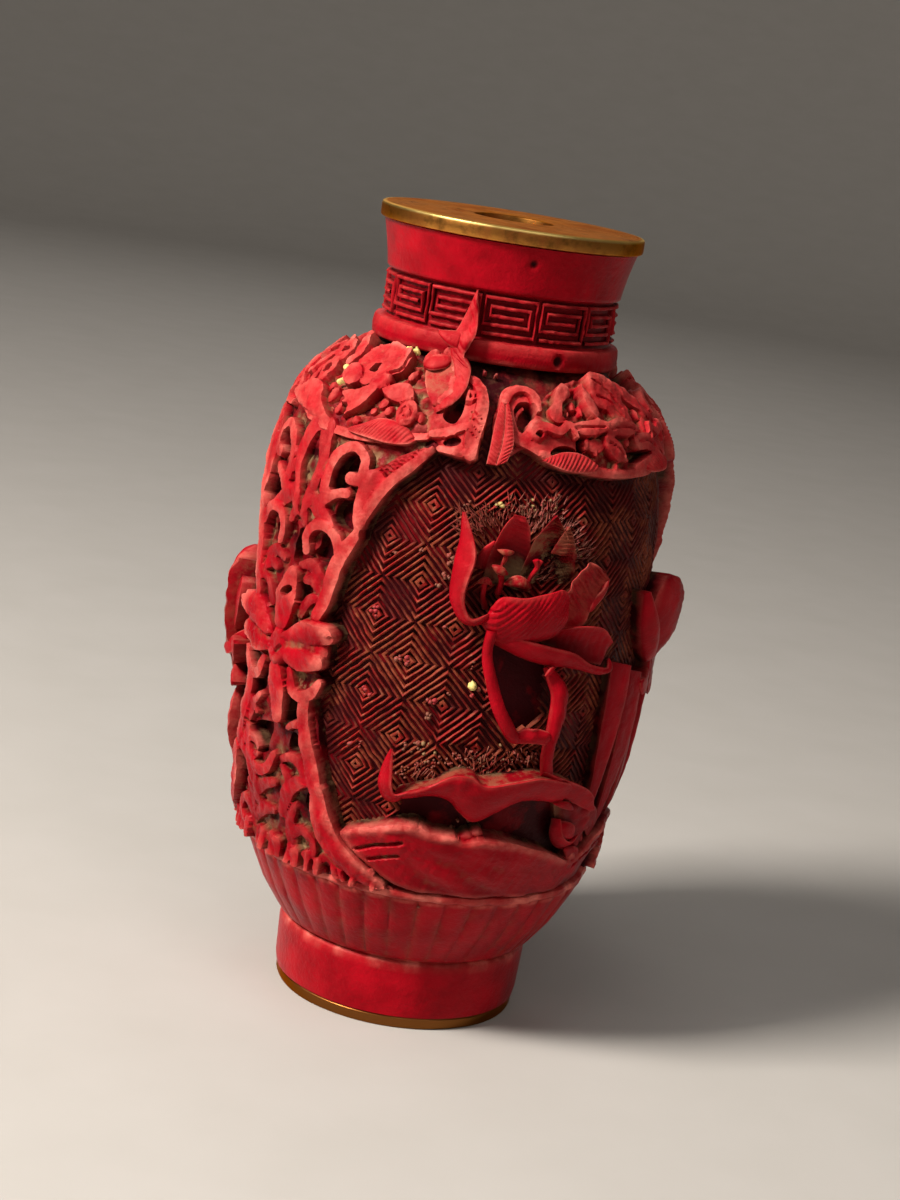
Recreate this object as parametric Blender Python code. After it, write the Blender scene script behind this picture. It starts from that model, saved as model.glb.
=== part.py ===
"""A small perfume bottle: a brass bottle under a thick coat of carved red lacquer.

Two solids. The brass bottle is one hollow vessel: a flat base that shows as a ring under the foot, a thin
wall, a neck and a flat mouth disc with a small round hole. The lacquer coat sits on it from the foot ring to
the underside of the disc, and all the carving is cut in its thickness.

Frame: metres, +Z up, origin at the middle of the underside. The front panel faces -Y and the back panel +Y;
the carving repeats after half a turn. Carving is laid out in millimetres on the unrolled wall: x runs round
the bottle to the right at WALL_RADIUS, z is the height above the base, and lift is measured out of the wall.
"""
import math

import bmesh
import bpy
from mathutils import Vector

MM = 0.001

# ---- driving sizes, in millimetres
HEIGHT = 72.0
DISC_THICKNESS = 1.35
DISC_RADIUS = 11.65
MOUTH_RADIUS = 3.5
FOOT_RADIUS = 11.1
FOOT_RING_HEIGHT = 1.1
BRASS_WALL = 0.8
BASE_THICKNESS = 1.6
CLEARANCE = 0.3
WALL_RADIUS = 18.0

# ---- heights of the bands of the coat
FOOT_BAND_TOP = 6.8
GADROON_TOP = 13.6
LEDGE_TOP = 14.7
COLLAR_BOTTOM = 60.3
COLLAR_TOP = 62.2
FRET_TOP = 66.3
COAT_TOP = HEIGHT - DISC_THICKNESS - CLEARANCE

# ---- carving
RELIEF = 1.5
SINK = 0.7
GADROONS = 40
FRET_UNITS = 13
LAPPETS = 4
LAPPET_TURN = 7.0
BACK_BLOOM_DROP = 4.5
LAPPET_RISE = 1.6
NECK_RADIUS = 10.4
NECK_FLARE = 0.35
FRET_BAR = 0.42
FRET_LINE = 0.75
GADROON_ROWS = [(FOOT_BAND_TOP + 0.1, 12.15), (9.8, 14.0), (GADROON_TOP, 15.65)]
GADROON_DEPTH = 0.42
COAT_STEPS = 48
BRASS_STEPS = 32
KEPT_FACES = 0.385

# height and radius stations of the lacquer ground behind the carving, and of the brass under it
GROUND = [(14.7, 15.0), (18.0, 15.7), (24.0, 16.6), (30.0, 17.05), (37.0, 17.2), (45.0, 17.0),
          (50.0, 16.5), (53.5, 15.6), (56.0, 14.2), (58.0, 12.1), (60.3, 9.7)]
BRASS = [(FOOT_RING_HEIGHT, 8.9), (6.0, 9.0), (10.0, 10.6), (15.0, 12.2), (24.0, 13.9), (36.0, 14.5),
         (47.0, 14.2), (53.0, 12.4), (57.0, 9.8), (60.0, 8.0)]


# ---- curves and outlines

def smooth_curve(stations):
    """A curve through (height, radius) stations: cubic between each pair, slopes from the neighbours."""
    count = len(stations)

    def slope(index):
        before = stations[max(index - 1, 0)]
        after = stations[min(index + 1, count - 1)]
        return (after[1] - before[1]) / (after[0] - before[0])

    def radius(height):
        index = 0
        while index < count - 2 and height > stations[index + 1][0]:
            index += 1
        (z0, r0), (z1, r1) = stations[index], stations[index + 1]
        span = z1 - z0
        t = min(max((height - z0) / span, 0.0), 1.0)
        return ((2 * t ** 3 - 3 * t ** 2 + 1) * r0 + (t ** 3 - 2 * t ** 2 + t) * span * slope(index)
                + (3 * t ** 2 - 2 * t ** 3) * r1 + (t ** 3 - t ** 2) * span * slope(index + 1))

    return radius


ground_radius = smooth_curve(GROUND)
brass_radius = smooth_curve(BRASS)


def on_ground(x, z, lift):
    """The point lift above the lacquer ground, square to it, at (x, z) of the unrolled wall."""
    step = 0.2
    slope = (ground_radius(z + step) - ground_radius(z - step)) / (2 * step)
    tilt = math.hypot(1.0, slope)
    radius = ground_radius(z) + lift / tilt
    angle = x / WALL_RADIUS
    return Vector((radius * math.sin(angle), -radius * math.cos(angle), z - lift * slope / tilt))


def on_neck(x, z, lift):
    """The same for the neck, whose wall is taken as upright there."""
    radius = NECK_RADIUS + NECK_FLARE * max(COLLAR_TOP - z, 0.0) + lift
    angle = x / WALL_RADIUS
    return Vector((radius * math.sin(angle), -radius * math.cos(angle), z))


def path_through(points, steps):
    """Points spaced along a smooth curve through a few control points."""
    result = []
    last = len(points) - 1
    for step in range(steps + 1):
        place = last * step / steps
        index = min(int(place), last - 1)
        t = place - index
        p1, p2 = points[index], points[index + 1]
        p0 = points[index - 1] if index > 0 else tuple(2 * a - b for a, b in zip(p1, p2))
        p3 = points[index + 2] if index + 2 <= last else tuple(2 * a - b for a, b in zip(p2, p1))
        result.append(tuple(
            0.5 * (2 * b + (c - a) * t + (2 * a - 5 * b + 4 * c - d) * t ** 2 + (3 * b - a - 3 * c + d) * t ** 3)
            for a, b, c, d in zip(p0, p1, p2, p3)))
    return result


def blade(points, width, steps=5, blunt=0.35, swell=0.5):
    """The outline of a leaf or petal: widest at swell of its length, narrowed at both ends."""
    middle = path_through(points, steps)
    left, right = [], []
    for index, (x, z) in enumerate(middle):
        a = middle[max(index - 1, 0)]
        b = middle[min(index + 1, steps)]
        length = math.hypot(b[0] - a[0], b[1] - a[1])
        nx, nz = -(b[1] - a[1]) / length, (b[0] - a[0]) / length
        t = index / steps
        part = t / swell if t < swell else (1 - t) / (1 - swell)
        half = 0.5 * width * (blunt + (1 - blunt) * math.sin(0.5 * math.pi * part))
        left.append((x + nx * half, z + nz * half))
        right.append((x - nx * half, z - nz * half))
    return right + left[::-1]


def oval(x, z, half_x, half_z, count=8, turn=0.0):
    """An oval outline, turned by some degrees."""
    c, s = math.cos(math.radians(turn)), math.sin(math.radians(turn))
    points = []
    for index in range(count):
        angle = 2 * math.pi * index / count
        px, pz = half_x * math.cos(angle), half_z * math.sin(angle)
        points.append((x + c * px - s * pz, z + s * px + c * pz))
    return points


# ---- meshes

def lathe(name, profile, steps):
    """A body turned about +Z from a closed (radius, height) profile."""
    bm = bmesh.new()
    verts = [bm.verts.new((radius * MM, 0.0, height * MM)) for radius, height in profile]
    edges = [bm.edges.new((verts[i - 1], verts[i])) for i in range(len(verts))]
    axis_edges = [e for e in edges if all(v.co.x < 1e-7 for v in e.verts)]
    for edge in axis_edges:
        edges.remove(edge)
        bm.edges.remove(edge)
    bmesh.ops.spin(bm, geom=verts + edges, cent=(0, 0, 0), axis=(0, 0, 1), angle=2 * math.pi,
                   steps=steps, use_merge=True)
    bmesh.ops.remove_doubles(bm, verts=bm.verts, dist=1e-6)
    return to_object(name, bm)


def to_object(name, bm):
    bmesh.ops.recalc_face_normals(bm, faces=bm.faces)
    mesh = bpy.data.meshes.new(name)
    bm.to_mesh(mesh)
    bm.free()
    obj = bpy.data.objects.new(name, mesh)
    bpy.context.scene.collection.objects.link(obj)
    return obj


def carved_plate(name, outline, rise=RELIEF, holes=(), surface=on_ground, turn=0.0, cell=(4.0, 5.0)):
    """A plate with the given outline that follows the wall, from below the ground to rise above it.

    rise is a number, or a function of (x, z). turn moves the plate round the bottle, in degrees. Each plate
    is rooted at a depth of its own, so that no two hidden faces lie in one surface.
    """
    sink = SINK + 0.011 * (len(bpy.data.objects) % 50)
    flat = bmesh.new()
    edges = []
    for loop in (outline, *holes):
        verts = [flat.verts.new((x, z, 0.0)) for x, z in loop]
        edges += [flat.edges.new((verts[i - 1], verts[i])) for i in range(len(verts))]
    bmesh.ops.triangle_fill(flat, edges=edges, use_beauty=True, normal=(0, 0, 1))
    for axis in (0, 1):
        low = min(v.co[axis] for v in flat.verts)
        high = max(v.co[axis] for v in flat.verts)
        cuts = int((high - low) / cell[axis])
        for cut in range(1, cuts + 1):
            place = [0.0, 0.0, 0.0]
            place[axis] = low + (high - low) * cut / (cuts + 1)
            normal = [0.0, 0.0, 0.0]
            normal[axis] = 1.0
            everything = flat.verts[:] + flat.edges[:] + flat.faces[:]
            bmesh.ops.bisect_plane(flat, geom=everything, dist=0.08, plane_co=place, plane_no=normal)
    bmesh.ops.triangulate(flat, faces=flat.faces)
    bmesh.ops.remove_doubles(flat, verts=flat.verts, dist=0.05)

    plate = bmesh.new()
    shift = math.radians(turn) * WALL_RADIUS
    top, bottom = {}, {}
    for vert in flat.verts:
        x, z = vert.co.x, vert.co.y
        lift = rise(x, z) if callable(rise) else rise
        top[vert] = plate.verts.new(surface(x + shift, z, lift) * MM)
        bottom[vert] = plate.verts.new(surface(x + shift, z, -sink) * MM)
    for face in flat.faces:
        around = list(face.verts)
        if face.normal.z < 0:
            around.reverse()
        plate.faces.new([top[v] for v in around])
        plate.faces.new([bottom[v] for v in reversed(around)])
    for edge in flat.edges:
        if len(edge.link_faces) == 1:
            a, b = edge.verts
            plate.faces.new([top[a], bottom[a], bottom[b], top[b]])
    flat.free()
    return to_object(name, plate)


# ---- the pieces

def make_material(name, color, roughness, metallic):
    material = bpy.data.materials.new(name)
    material.use_nodes = True
    shader = material.node_tree.nodes["Principled BSDF"]
    shader.inputs["Base Color"].default_value = (*color, 1.0)
    shader.inputs["Roughness"].default_value = roughness
    shader.inputs["Metallic"].default_value = metallic
    return material


def shade(obj, angle=35.0):
    obj.data.shade_smooth()
    obj.data.set_sharp_from_angle(angle=math.radians(angle))


def brass_bottle():
    """The vessel: foot ring, thin wall, neck and mouth disc, open only at the mouth hole."""
    disc_bottom = HEIGHT - DISC_THICKNESS
    heights = [6.0, 14.0, 24.0, 36.0, 47.0, 53.0, 57.0, 60.0]
    outside = [(0.0, 0.0), (FOOT_RADIUS - 0.3, 0.0), (FOOT_RADIUS, 0.3), (FOOT_RADIUS, FOOT_RING_HEIGHT),
               (brass_radius(FOOT_RING_HEIGHT), FOOT_RING_HEIGHT)]
    outside += [(brass_radius(z), z) for z in heights]
    outside += [(brass_radius(60.0), disc_bottom), (DISC_RADIUS - 0.15, disc_bottom),
                (DISC_RADIUS, disc_bottom + 0.15), (DISC_RADIUS, HEIGHT - 0.2), (DISC_RADIUS - 0.2, HEIGHT),
                (MOUTH_RADIUS + 0.2, HEIGHT), (MOUTH_RADIUS, HEIGHT - 0.2), (MOUTH_RADIUS, disc_bottom)]
    inside = [(brass_radius(60.0) - BRASS_WALL, disc_bottom)]
    inside += [(brass_radius(z) - BRASS_WALL, z) for z in reversed(heights)]
    inside += [(brass_radius(2.0) - BRASS_WALL, BASE_THICKNESS), (0.0, BASE_THICKNESS)]
    bottle = lathe("brass_bottle", outside + inside, BRASS_STEPS)
    bottle.data.materials.append(make_material("brass", (0.42, 0.31, 0.12), 0.38, 1.0))
    shade(bottle)
    return bottle


def coat_blank():
    """The turned lacquer coat before its raised carving is added."""
    bottom = FOOT_RING_HEIGHT + CLEARANCE
    outside = [(FOOT_RADIUS, bottom), (11.45, FOOT_BAND_TOP - 0.5), (11.2, FOOT_BAND_TOP),
               (11.5, FOOT_BAND_TOP + 0.2), (15.0, GADROON_TOP - 0.2),
               (16.0, GADROON_TOP + 0.1), (16.0, LEDGE_TOP - 0.3), (15.5, LEDGE_TOP)]
    outside += [(ground_radius(z), z) for z in (15.1, 20.0, 28.0, 36.0, 45.0, 51.0, 55.0, 58.0)]
    outside += [(9.7, COLLAR_BOTTOM), (10.85, COLLAR_BOTTOM + 0.1), (11.0, 61.2), (10.85, COLLAR_TOP),
                (9.85, COLLAR_TOP + 0.1), (9.9, FRET_TOP), (10.3, FRET_TOP + 0.2), (10.7, 68.6),
                (11.25, COAT_TOP)]
    inner = [(brass_radius(z) + CLEARANCE, z) for z in (bottom, 6.0, 14.0, 24.0, 36.0, 47.0, 53.0, 57.0, 60.0)]
    inner.append((brass_radius(60.0) + CLEARANCE, COAT_TOP))
    return lathe("carved_lacquer_coat", outside + inner[::-1], COAT_STEPS)


def gadroon_ring():
    """The upright lobes round the lower band, one body whose outside ripples."""
    per_lobe = 3
    columns = GADROONS * per_lobe
    rows = GADROON_ROWS
    depth = [0.0, GADROON_DEPTH, GADROON_DEPTH]
    bm = bmesh.new()
    rings = []
    for z, radius in rows:
        ring = []
        for column in range(columns):
            angle = 2 * math.pi * column / columns
            r = radius + depth[column % per_lobe] - 0.2
            ring.append(bm.verts.new((r * MM * math.sin(angle), -r * MM * math.cos(angle), z * MM)))
        rings.append(ring)
    for z, radius in (rows[-1], rows[0]):
        ring = []
        for column in range(columns):
            angle = 2 * math.pi * column / columns
            r = radius - 1.3
            ring.append(bm.verts.new((r * MM * math.sin(angle), -r * MM * math.cos(angle), z * MM)))
        rings.append(ring)
    for index, ring in enumerate(rings):
        other = rings[(index + 1) % len(rings)]
        for column in range(columns):
            after = (column + 1) % columns
            bm.faces.new((ring[column], ring[after], other[after], other[column]))
    return to_object("gadroons", bm)


def ramp(from_point, to_point, low, high):
    """A rise that grows steadily from low at one point of the wall to high at another."""
    dx, dz = to_point[0] - from_point[0], to_point[1] - from_point[1]
    length = dx * dx + dz * dz

    def rise(x, z):
        t = ((x - from_point[0]) * dx + (z - from_point[1]) * dz) / length
        return low + (high - low) * min(max(t, 0.0), 1.0)

    return rise


def fret_band():
    """Square spirals standing on the neck, one beside the other."""
    pitch = 2 * math.pi * WALL_RADIUS / FRET_UNITS
    line = FRET_LINE
    high, low = FRET_TOP - 0.1, COLLAR_TOP + 0.45
    bar = FRET_BAR
    plates = []
    for unit in range(FRET_UNITS):
        left = unit * pitch + 0.9
        right = left + pitch - 1.3
        middle_low, middle_high = low + 3 * bar, high - 3 * bar
        spiral = [(left, low), (right, low), (right, high), (left, high), (left, high - bar),
                  (right - line, high - bar), (right - line, low + bar), (left + line, low + bar),
                  (left + line, middle_high), (right - 3 * line, middle_high),
                  (right - 3 * line, middle_low), (left + 3 * line, middle_low),
                  (left + 3 * line, middle_low - bar * 0.8), (right - 2 * line, middle_low - bar * 0.8),
                  (right - 2 * line, middle_high + bar * 0.8), (left, middle_high + bar * 0.8)]
        plates.append(carved_plate("fret", spiral, rise=0.0, surface=on_neck, cell=(3.6, 9.0)))
    return plates


def six_petals(name, x, z, long, wide, flatten, rise, turn):
    """A flower of six petals round a boss; flatten shortens it up and down."""
    plates = []
    for petal in range(6):
        angle = math.radians(30 + 60 * petal)
        outline = oval(0.0, 0.0, 0.5 * long, 0.5 * wide, count=6, turn=math.degrees(angle))
        dx, dz = 0.62 * long * math.cos(angle), 0.62 * long * math.sin(angle)
        outline = [(x + px + dx, z + flatten * (pz + dz)) for px, pz in outline]
        plates.append(carved_plate(name, outline, rise=rise + 0.12 * (petal % 2), turn=turn))
    boss = [(px, z + flatten * (pz - z)) for px, pz in oval(x, z, 0.75, 0.75, count=6)]
    plates.append(carved_plate(name, boss, rise=rise + 0.3, turn=turn))
    return plates


def border(turn):
    """One upright openwork border between the two panels: scrolls above and below a six-petalled flower."""
    stations = [(14.9, 12.6), (17.2, 9.0), (20.0, 7.3), (24.5, 6.0), (28.0, 5.0), (30.6, 2.7), (35.8, 2.7),
                (38.2, 5.1), (43.6, 6.0), (46.4, 6.6), (50.6, 9.6), (54.2, 12.6)]
    right = [(half, z) for z, half in stations]
    outline = right + [(-half, z) for z, half in reversed(stations)]
    holes = []
    for side in (-1, 1):
        holes.append(oval(side * 4.4, 49.4, 1.0, 1.9, count=6, turn=side * -15))
        holes.append(oval(side * 3.3, 43.4, 1.3, 1.8, count=6))
        holes.append(oval(side * 2.7, 25.6, 1.4, 1.5, count=6))
        holes.append(oval(side * 3.7, 20.4, 0.8, 1.6, count=6, turn=side * 12))
    plates = [carved_plate("border", outline, rise=RELIEF, holes=holes, turn=turn)]
    plates += six_petals("border flower", 0.0, 33.3, 3.4, 2.1, 1.0, RELIEF + 0.5, turn)
    for side in (-1, 1):
        bud = [(side * x, z) for x, z in ((1.6, 31.9), (2.4, 29.9), (4.4, 29.9), (5.2, 31.9), (3.4, 31.1))]
        plates.append(carved_plate("border bud", bud, rise=RELIEF - 0.2, turn=turn))
        leaf = [(side * 5.3, 24.0), (side * 6.6, 19.6), (side * 9.3, 16.9), (side * 13.8, 15.2)]
        plates.append(carved_plate("border blade", blade(leaf, 2.0), rise=RELIEF + 0.4, turn=turn))
        frond = [(side * 6.2, 45.2), (side * 7.6, 48.9), (side * 10.8, 52.4)]
        plates.append(carved_plate("border frond", blade(frond, 1.9), rise=RELIEF + 0.3, turn=turn))
    return plates


def lappet(index):
    """One of the collar's lobed lappets: pierced scrollwork round a six-petalled flower."""
    turn = LAPPET_TURN + index * 360.0 / LAPPETS
    lower = [(0.0, 52.9), (4.5, 53.2), (7.6, 54.0), (9.8, 54.3), (11.8, 53.5), (13.2, 53.2)]
    right = lower + [(13.5, 56.6), (11.4, 59.0), (6.6, 58.4), (3.0, 59.1)]
    outline = right + [(-x, z) for x, z in reversed(right[1:])]
    holes = []
    for side in (-1, 1):
        holes.append(oval(side * 10.3, 56.9, 1.2, 1.1, count=6))
        holes.append(oval(side * 6.2, 55.1, 1.1, 0.5, count=6))
    plates = [carved_plate("lappet", outline, rise=LAPPET_RISE, holes=holes, turn=turn)]
    plates += six_petals("lappet flower", 0.0, 56.7, 4.2, 2.4, 0.62, LAPPET_RISE + 0.45, turn)
    return plates


def neck_leaf(turn):
    """A pointed leaf that stands up from a lappet, over the collar and the fret band."""
    outline = [(1.7, 57.9), (1.9, 60.4), (1.6, 63.0), (1.1, 65.0), (0.5, 66.3), (-0.4, 65.2), (-1.0, 63.4),
               (-3.4, 61.6), (-3.2, 60.4), (-1.7, 59.4), (-1.8, 58.0)]
    rise = ramp((0.0, 58.0), (0.0, 66.3), 1.3, 0.55)
    return carved_plate("neck leaf", outline, rise=rise, surface=on_neck, turn=turn)


def lotus(turn):
    """The open bloom at the left of a panel: petals, seed head and two curved stalks."""
    petals = [
        ([(-12.4, 48.3), (-12.0, 45.2), (-12.2, 42.6), (-10.6, 40.7), (-8.9, 40.1)], 1.7, (1.6, 2.8)),
        ([(-9.3, 44.2), (-8.9, 46.8), (-8.5, 48.9)], 1.9, (1.0, 2.0)),
        ([(-7.2, 44.0), (-5.6, 46.6), (-4.7, 48.6)], 2.3, (1.0, 1.9)),
        ([(-5.0, 43.6), (-3.6, 46.0), (-2.2, 48.2)], 2.2, (0.9, 1.7)),
        ([(-5.2, 40.4), (-2.2, 42.6), (0.9, 44.8)], 3.6, (1.4, 2.6)),
        ([(-4.6, 38.9), (-0.6, 38.7), (3.4, 37.6)], 3.0, (1.2, 2.2)),
    ]
    plates = []
    for points, width, (low, high) in petals:
        rise = ramp(points[0], points[-1], low, high)
        outline = blade(points, width, blunt=0.3)
        plates.append(carved_plate("petal", outline, rise=rise, turn=turn))
    front = [(-10.2, 40.0), (-8.0, 38.9), (-5.6, 38.2), (-3.6, 39.4), (-2.9, 41.4), (-3.1, 43.2), (-4.7, 43.5),
             (-7.0, 42.7), (-9.0, 41.9)]
    plates.append(carved_plate("front petal", front, rise=ramp((0, 38.2), (0, 43.5), 1.4, 3.2), turn=turn))
    plates.append(carved_plate("seed head", oval(-8.0, 44.0, 2.2, 1.1, count=8), rise=1.5, turn=turn))
    stalks = [
        ([(-9.3, 39.2), (-8.9, 36.6), (-7.8, 33.4), (-5.9, 30.9), (-3.4, 30.7)], 1.2),
        ([(-3.6, 36.2), (-2.2, 34.3), (-1.7, 31.4), (-2.2, 28.4), (-1.7, 25.6)], 1.6),
    ]
    for points, width in stalks:
        outline = blade(points, width, blunt=0.75)
        plates.append(carved_plate("stalk", outline, rise=2.3, turn=turn))
    return plates


def lotus_leaf(turn):
    """The big leaf seen edge-on under the bloom, with its wavy rim, and the smaller leaves beside it."""
    upper = [(-16.3, 27.8), (-15.5, 25.3), (-14.6, 23.9), (-12.0, 24.6), (-9.6, 26.2), (-6.2, 26.3), (-2.6, 26.7),
             (0.8, 26.2), (4.0, 24.6), (6.4, 22.6)]
    lower = [(6.0, 21.0), (2.4, 23.0), (-1.0, 24.2), (-3.8, 24.2), (-6.0, 23.3), (-7.9, 22.2), (-9.6, 23.4),
             (-11.6, 24.0), (-13.6, 23.2), (-15.2, 22.9), (-16.4, 23.8), (-16.9, 25.6)]
    outline = upper[::-1] + lower[::-1]
    plates = [carved_plate("lotus leaf", outline, rise=2.7, turn=turn)]
    curl = [(-0.8, 28.2), (2.0, 26.2), (5.4, 24.2), (7.8, 21.2)]
    plates.append(carved_plate("small leaf", blade(curl, 2.2), rise=2.2, turn=turn))
    plates.append(carved_plate("furled leaf", oval(5.2, 20.2, 2.0, 1.3, turn=20), rise=2.0, turn=turn))
    return plates


def side_bloom(turn, drop):
    """The second bloom at the right of a panel, drop lower on the back, with the tall blades under it."""
    petals = [
        ([(12.6, 36.2), (11.2, 38.2), (11.0, 40.6), (12.0, 42.8)], 3.2, 1.8, 3.3),
        ([(14.6, 35.6), (14.4, 38.4), (15.0, 41.2), (16.4, 42.9)], 3.4, 1.8, 3.3),
        ([(15.6, 34.6), (18.2, 36.2), (19.8, 38.4)], 3.0, 1.6, 3.0),
        ([(15.2, 32.8), (17.8, 31.8), (19.6, 29.6)], 2.6, 1.6, 2.8),
        ([(12.8, 34.8), (10.4, 35.4), (8.6, 37.6)], 2.4, 1.4, 2.2),
    ]
    blades = [
        ([(7.2, 21.0), (6.2, 26.0), (6.4, 31.0), (7.4, 35.6)], 2.6, 1.9, 2.2),
        ([(9.4, 19.8), (9.6, 25.0), (9.4, 30.0), (10.4, 34.2)], 2.2, 2.0, 2.3),
        ([(13.7, 26.4), (13.2, 24.0), (12.2, 20.0)], 1.3, 2.2, 2.4),
        ([(13.4, 19.6), (15.4, 23.0), (16.0, 26.6)], 2.4, 1.6, 2.4),
    ]
    stem = [(14.2, 35.4 - drop), (13.9, 31.8 - drop), (13.6, 25.0)]
    plates = [carved_plate("side stem", blade(stem, 1.5, blunt=0.8), rise=2.1, turn=turn)]
    for points, width, low, high in petals:
        points = [(x, z - drop) for x, z in points]
        outline = blade(points, width, blunt=0.4)
        plates.append(carved_plate("side petal", outline, rise=ramp(points[0], points[-1], low, high), turn=turn))
    for points, width, low, high in blades:
        outline = blade(points, width, blunt=0.4)
        plates.append(carved_plate("side blade", outline, rise=ramp(points[0], points[-1], low, high), turn=turn))
    return plates


def rock(turn):
    """The bank of rock and water that the lotus grows from."""
    top = [(-18.9, 18.4), (-16.6, 20.2), (-13.0, 21.2), (-9.4, 20.5), (-5.0, 20.3), (0.0, 19.6), (5.0, 18.8),
           (10.0, 20.4), (14.0, 21.0), (18.0, 18.6)]
    bottom = [(16.0, 15.0), (8.0, 15.0), (0.0, 15.0), (-8.0, 15.0), (-13.0, 15.0), (-16.4, 16.4)]
    outline = top[::-1] + bottom[::-1]
    return carved_plate("rock", outline, rise=1.9, turn=turn)


def carved_lacquer_coat():
    """The coat: the turned blank with every raised part of the carving joined to it."""
    coat = coat_blank()
    raised = [gadroon_ring()]
    raised += fret_band()
    for turn in (90.0, 270.0):
        raised += border(turn)
    for index in range(LAPPETS):
        raised += lappet(index)
    for turn in (-53.5, 126.5):
        raised.append(neck_leaf(turn))
    for turn, drop in ((0.0, 0.0), (180.0, BACK_BLOOM_DROP)):
        raised.append(rock(turn))
        raised += lotus(turn)
        raised += lotus_leaf(turn)
        raised += side_bloom(turn, drop)
    group = bpy.data.collections.new("raised carving")
    bpy.context.scene.collection.children.link(group)
    for plate in raised:
        bpy.context.scene.collection.objects.unlink(plate)
        group.objects.link(plate)
        plate.hide_render = True
        plate.display_type = "WIRE"
    union = coat.modifiers.new("carving", "BOOLEAN")
    union.operation = "UNION"
    union.solver = "EXACT"
    union.operand_type = "COLLECTION"
    union.collection = group
    thin = coat.modifiers.new("fewer faces", "DECIMATE")
    thin.decimate_type = "COLLAPSE"
    thin.ratio = KEPT_FACES
    coat.data.materials.append(make_material("carved_lacquer", (0.36, 0.035, 0.025), 0.45, 0.0))
    shade(coat, 25.0)
    return coat


def main():
    for obj in list(bpy.data.objects):
        bpy.data.objects.remove(obj)
    brass_bottle()
    carved_lacquer_coat()


main()
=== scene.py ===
"""The lacquer perfume bottle, dressed for show: brass vessel, carved lacquer coat, stage and camera.

All sizes in the sections below are millimetres unless they say otherwise. The part's frame is used
throughout: +Z up, the middle of the underside at the origin, the front panel towards -Y.
"""

import math

import bpy
import numpy as np
from mathutils import Matrix, Vector


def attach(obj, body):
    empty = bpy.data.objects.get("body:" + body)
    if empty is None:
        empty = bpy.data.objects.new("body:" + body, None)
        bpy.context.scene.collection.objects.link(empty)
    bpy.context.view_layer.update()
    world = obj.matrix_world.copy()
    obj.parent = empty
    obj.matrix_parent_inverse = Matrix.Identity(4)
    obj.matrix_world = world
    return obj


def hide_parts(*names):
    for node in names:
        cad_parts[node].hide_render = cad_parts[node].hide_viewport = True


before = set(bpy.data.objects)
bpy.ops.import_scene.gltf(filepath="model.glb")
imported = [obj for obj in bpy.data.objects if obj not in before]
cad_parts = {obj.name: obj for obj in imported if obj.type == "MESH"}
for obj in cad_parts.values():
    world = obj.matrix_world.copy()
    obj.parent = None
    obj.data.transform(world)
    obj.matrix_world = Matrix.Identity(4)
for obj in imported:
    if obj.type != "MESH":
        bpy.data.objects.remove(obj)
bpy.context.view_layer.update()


# ---- Stage: a pale round studio floor that curls up into its backdrop, and soft light.
# Painted board, matt. The key light is a large soft panel high on the bottle's left.

MM = 0.001
CAMERA_AZIMUTH = math.radians(-40.0)
CAMERA_REACH = 215.0
CAMERA_HEIGHT = 86.0
CAMERA_PITCH = math.radians(12.77)
CAMERA_ROLL = math.radians(9.05)
CAMERA_LENS = 72.78
CAMERA_SHIFT = -0.0029


def srgb(code):
    """An sRGB hex colour as linear red, green, blue and full alpha."""
    parts = [int(code[i:i + 2], 16) / 255 for i in (1, 3, 5)]
    return (*[p / 12.92 if p <= 0.04045 else ((p + 0.055) / 1.055) ** 2.4 for p in parts], 1.0)


def add(tree, kind, settings=None, **links):
    """A node of that kind, or the given node once more. Settings set its properties or sockets; links join
    its inputs, by name or as i0, i1 and so on, to a socket or to the first shown output of a node."""
    node = tree.nodes.new("ShaderNode" + kind) if isinstance(kind, str) else kind
    if kind == "Mix":
        node.data_type = "RGBA"
    for key, value in (settings or {}).items():
        if isinstance(key, str) and hasattr(node, key) and key not in node.inputs:
            setattr(node, key, value)
        else:
            node.inputs[key].default_value = value
    for key, source in links.items():
        if isinstance(source, bpy.types.Node):
            source = next(output for output in source.outputs if output.enabled)
        tree.links.new(source, node.inputs[int(key[1:]) if key[1:].isdigit() else key.replace("_", " ")])
    return node


def new_material(name):
    """An empty node material with its shader, joined to the output."""
    material = bpy.data.materials.new(name)
    material.use_nodes = True
    tree = material.node_tree
    return material, tree, tree.nodes["Principled BSDF"]


def new_piece(name, points, faces, material, smooth=40.0, **values):
    """A mesh object from points in mm and faces of one size; values are numbers kept at each point."""
    mesh = bpy.data.meshes.new(name)
    points = np.asarray(points, dtype=np.float64).reshape(-1, 3) * MM
    faces = np.asarray(faces, dtype=np.int32)
    mesh.vertices.add(len(points))
    mesh.vertices.foreach_set("co", points.astype(np.float32).ravel())
    mesh.loops.add(faces.size)
    mesh.loops.foreach_set("vertex_index", faces.ravel())
    mesh.polygons.add(len(faces))
    mesh.polygons.foreach_set("loop_start", np.arange(0, faces.size, faces.shape[1], dtype=np.int32))
    mesh.update(calc_edges=True)
    for key, value in values.items():
        layer = mesh.attributes.new(key, "FLOAT", "POINT")
        layer.data.foreach_set("value", np.asarray(value, dtype=np.float32).ravel())
    mesh.materials.append(material)
    mesh.shade_smooth()
    mesh.set_sharp_from_angle(angle=math.radians(smooth))
    piece = bpy.data.objects.new(name, mesh)
    bpy.context.scene.collection.objects.link(piece)
    return piece


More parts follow.
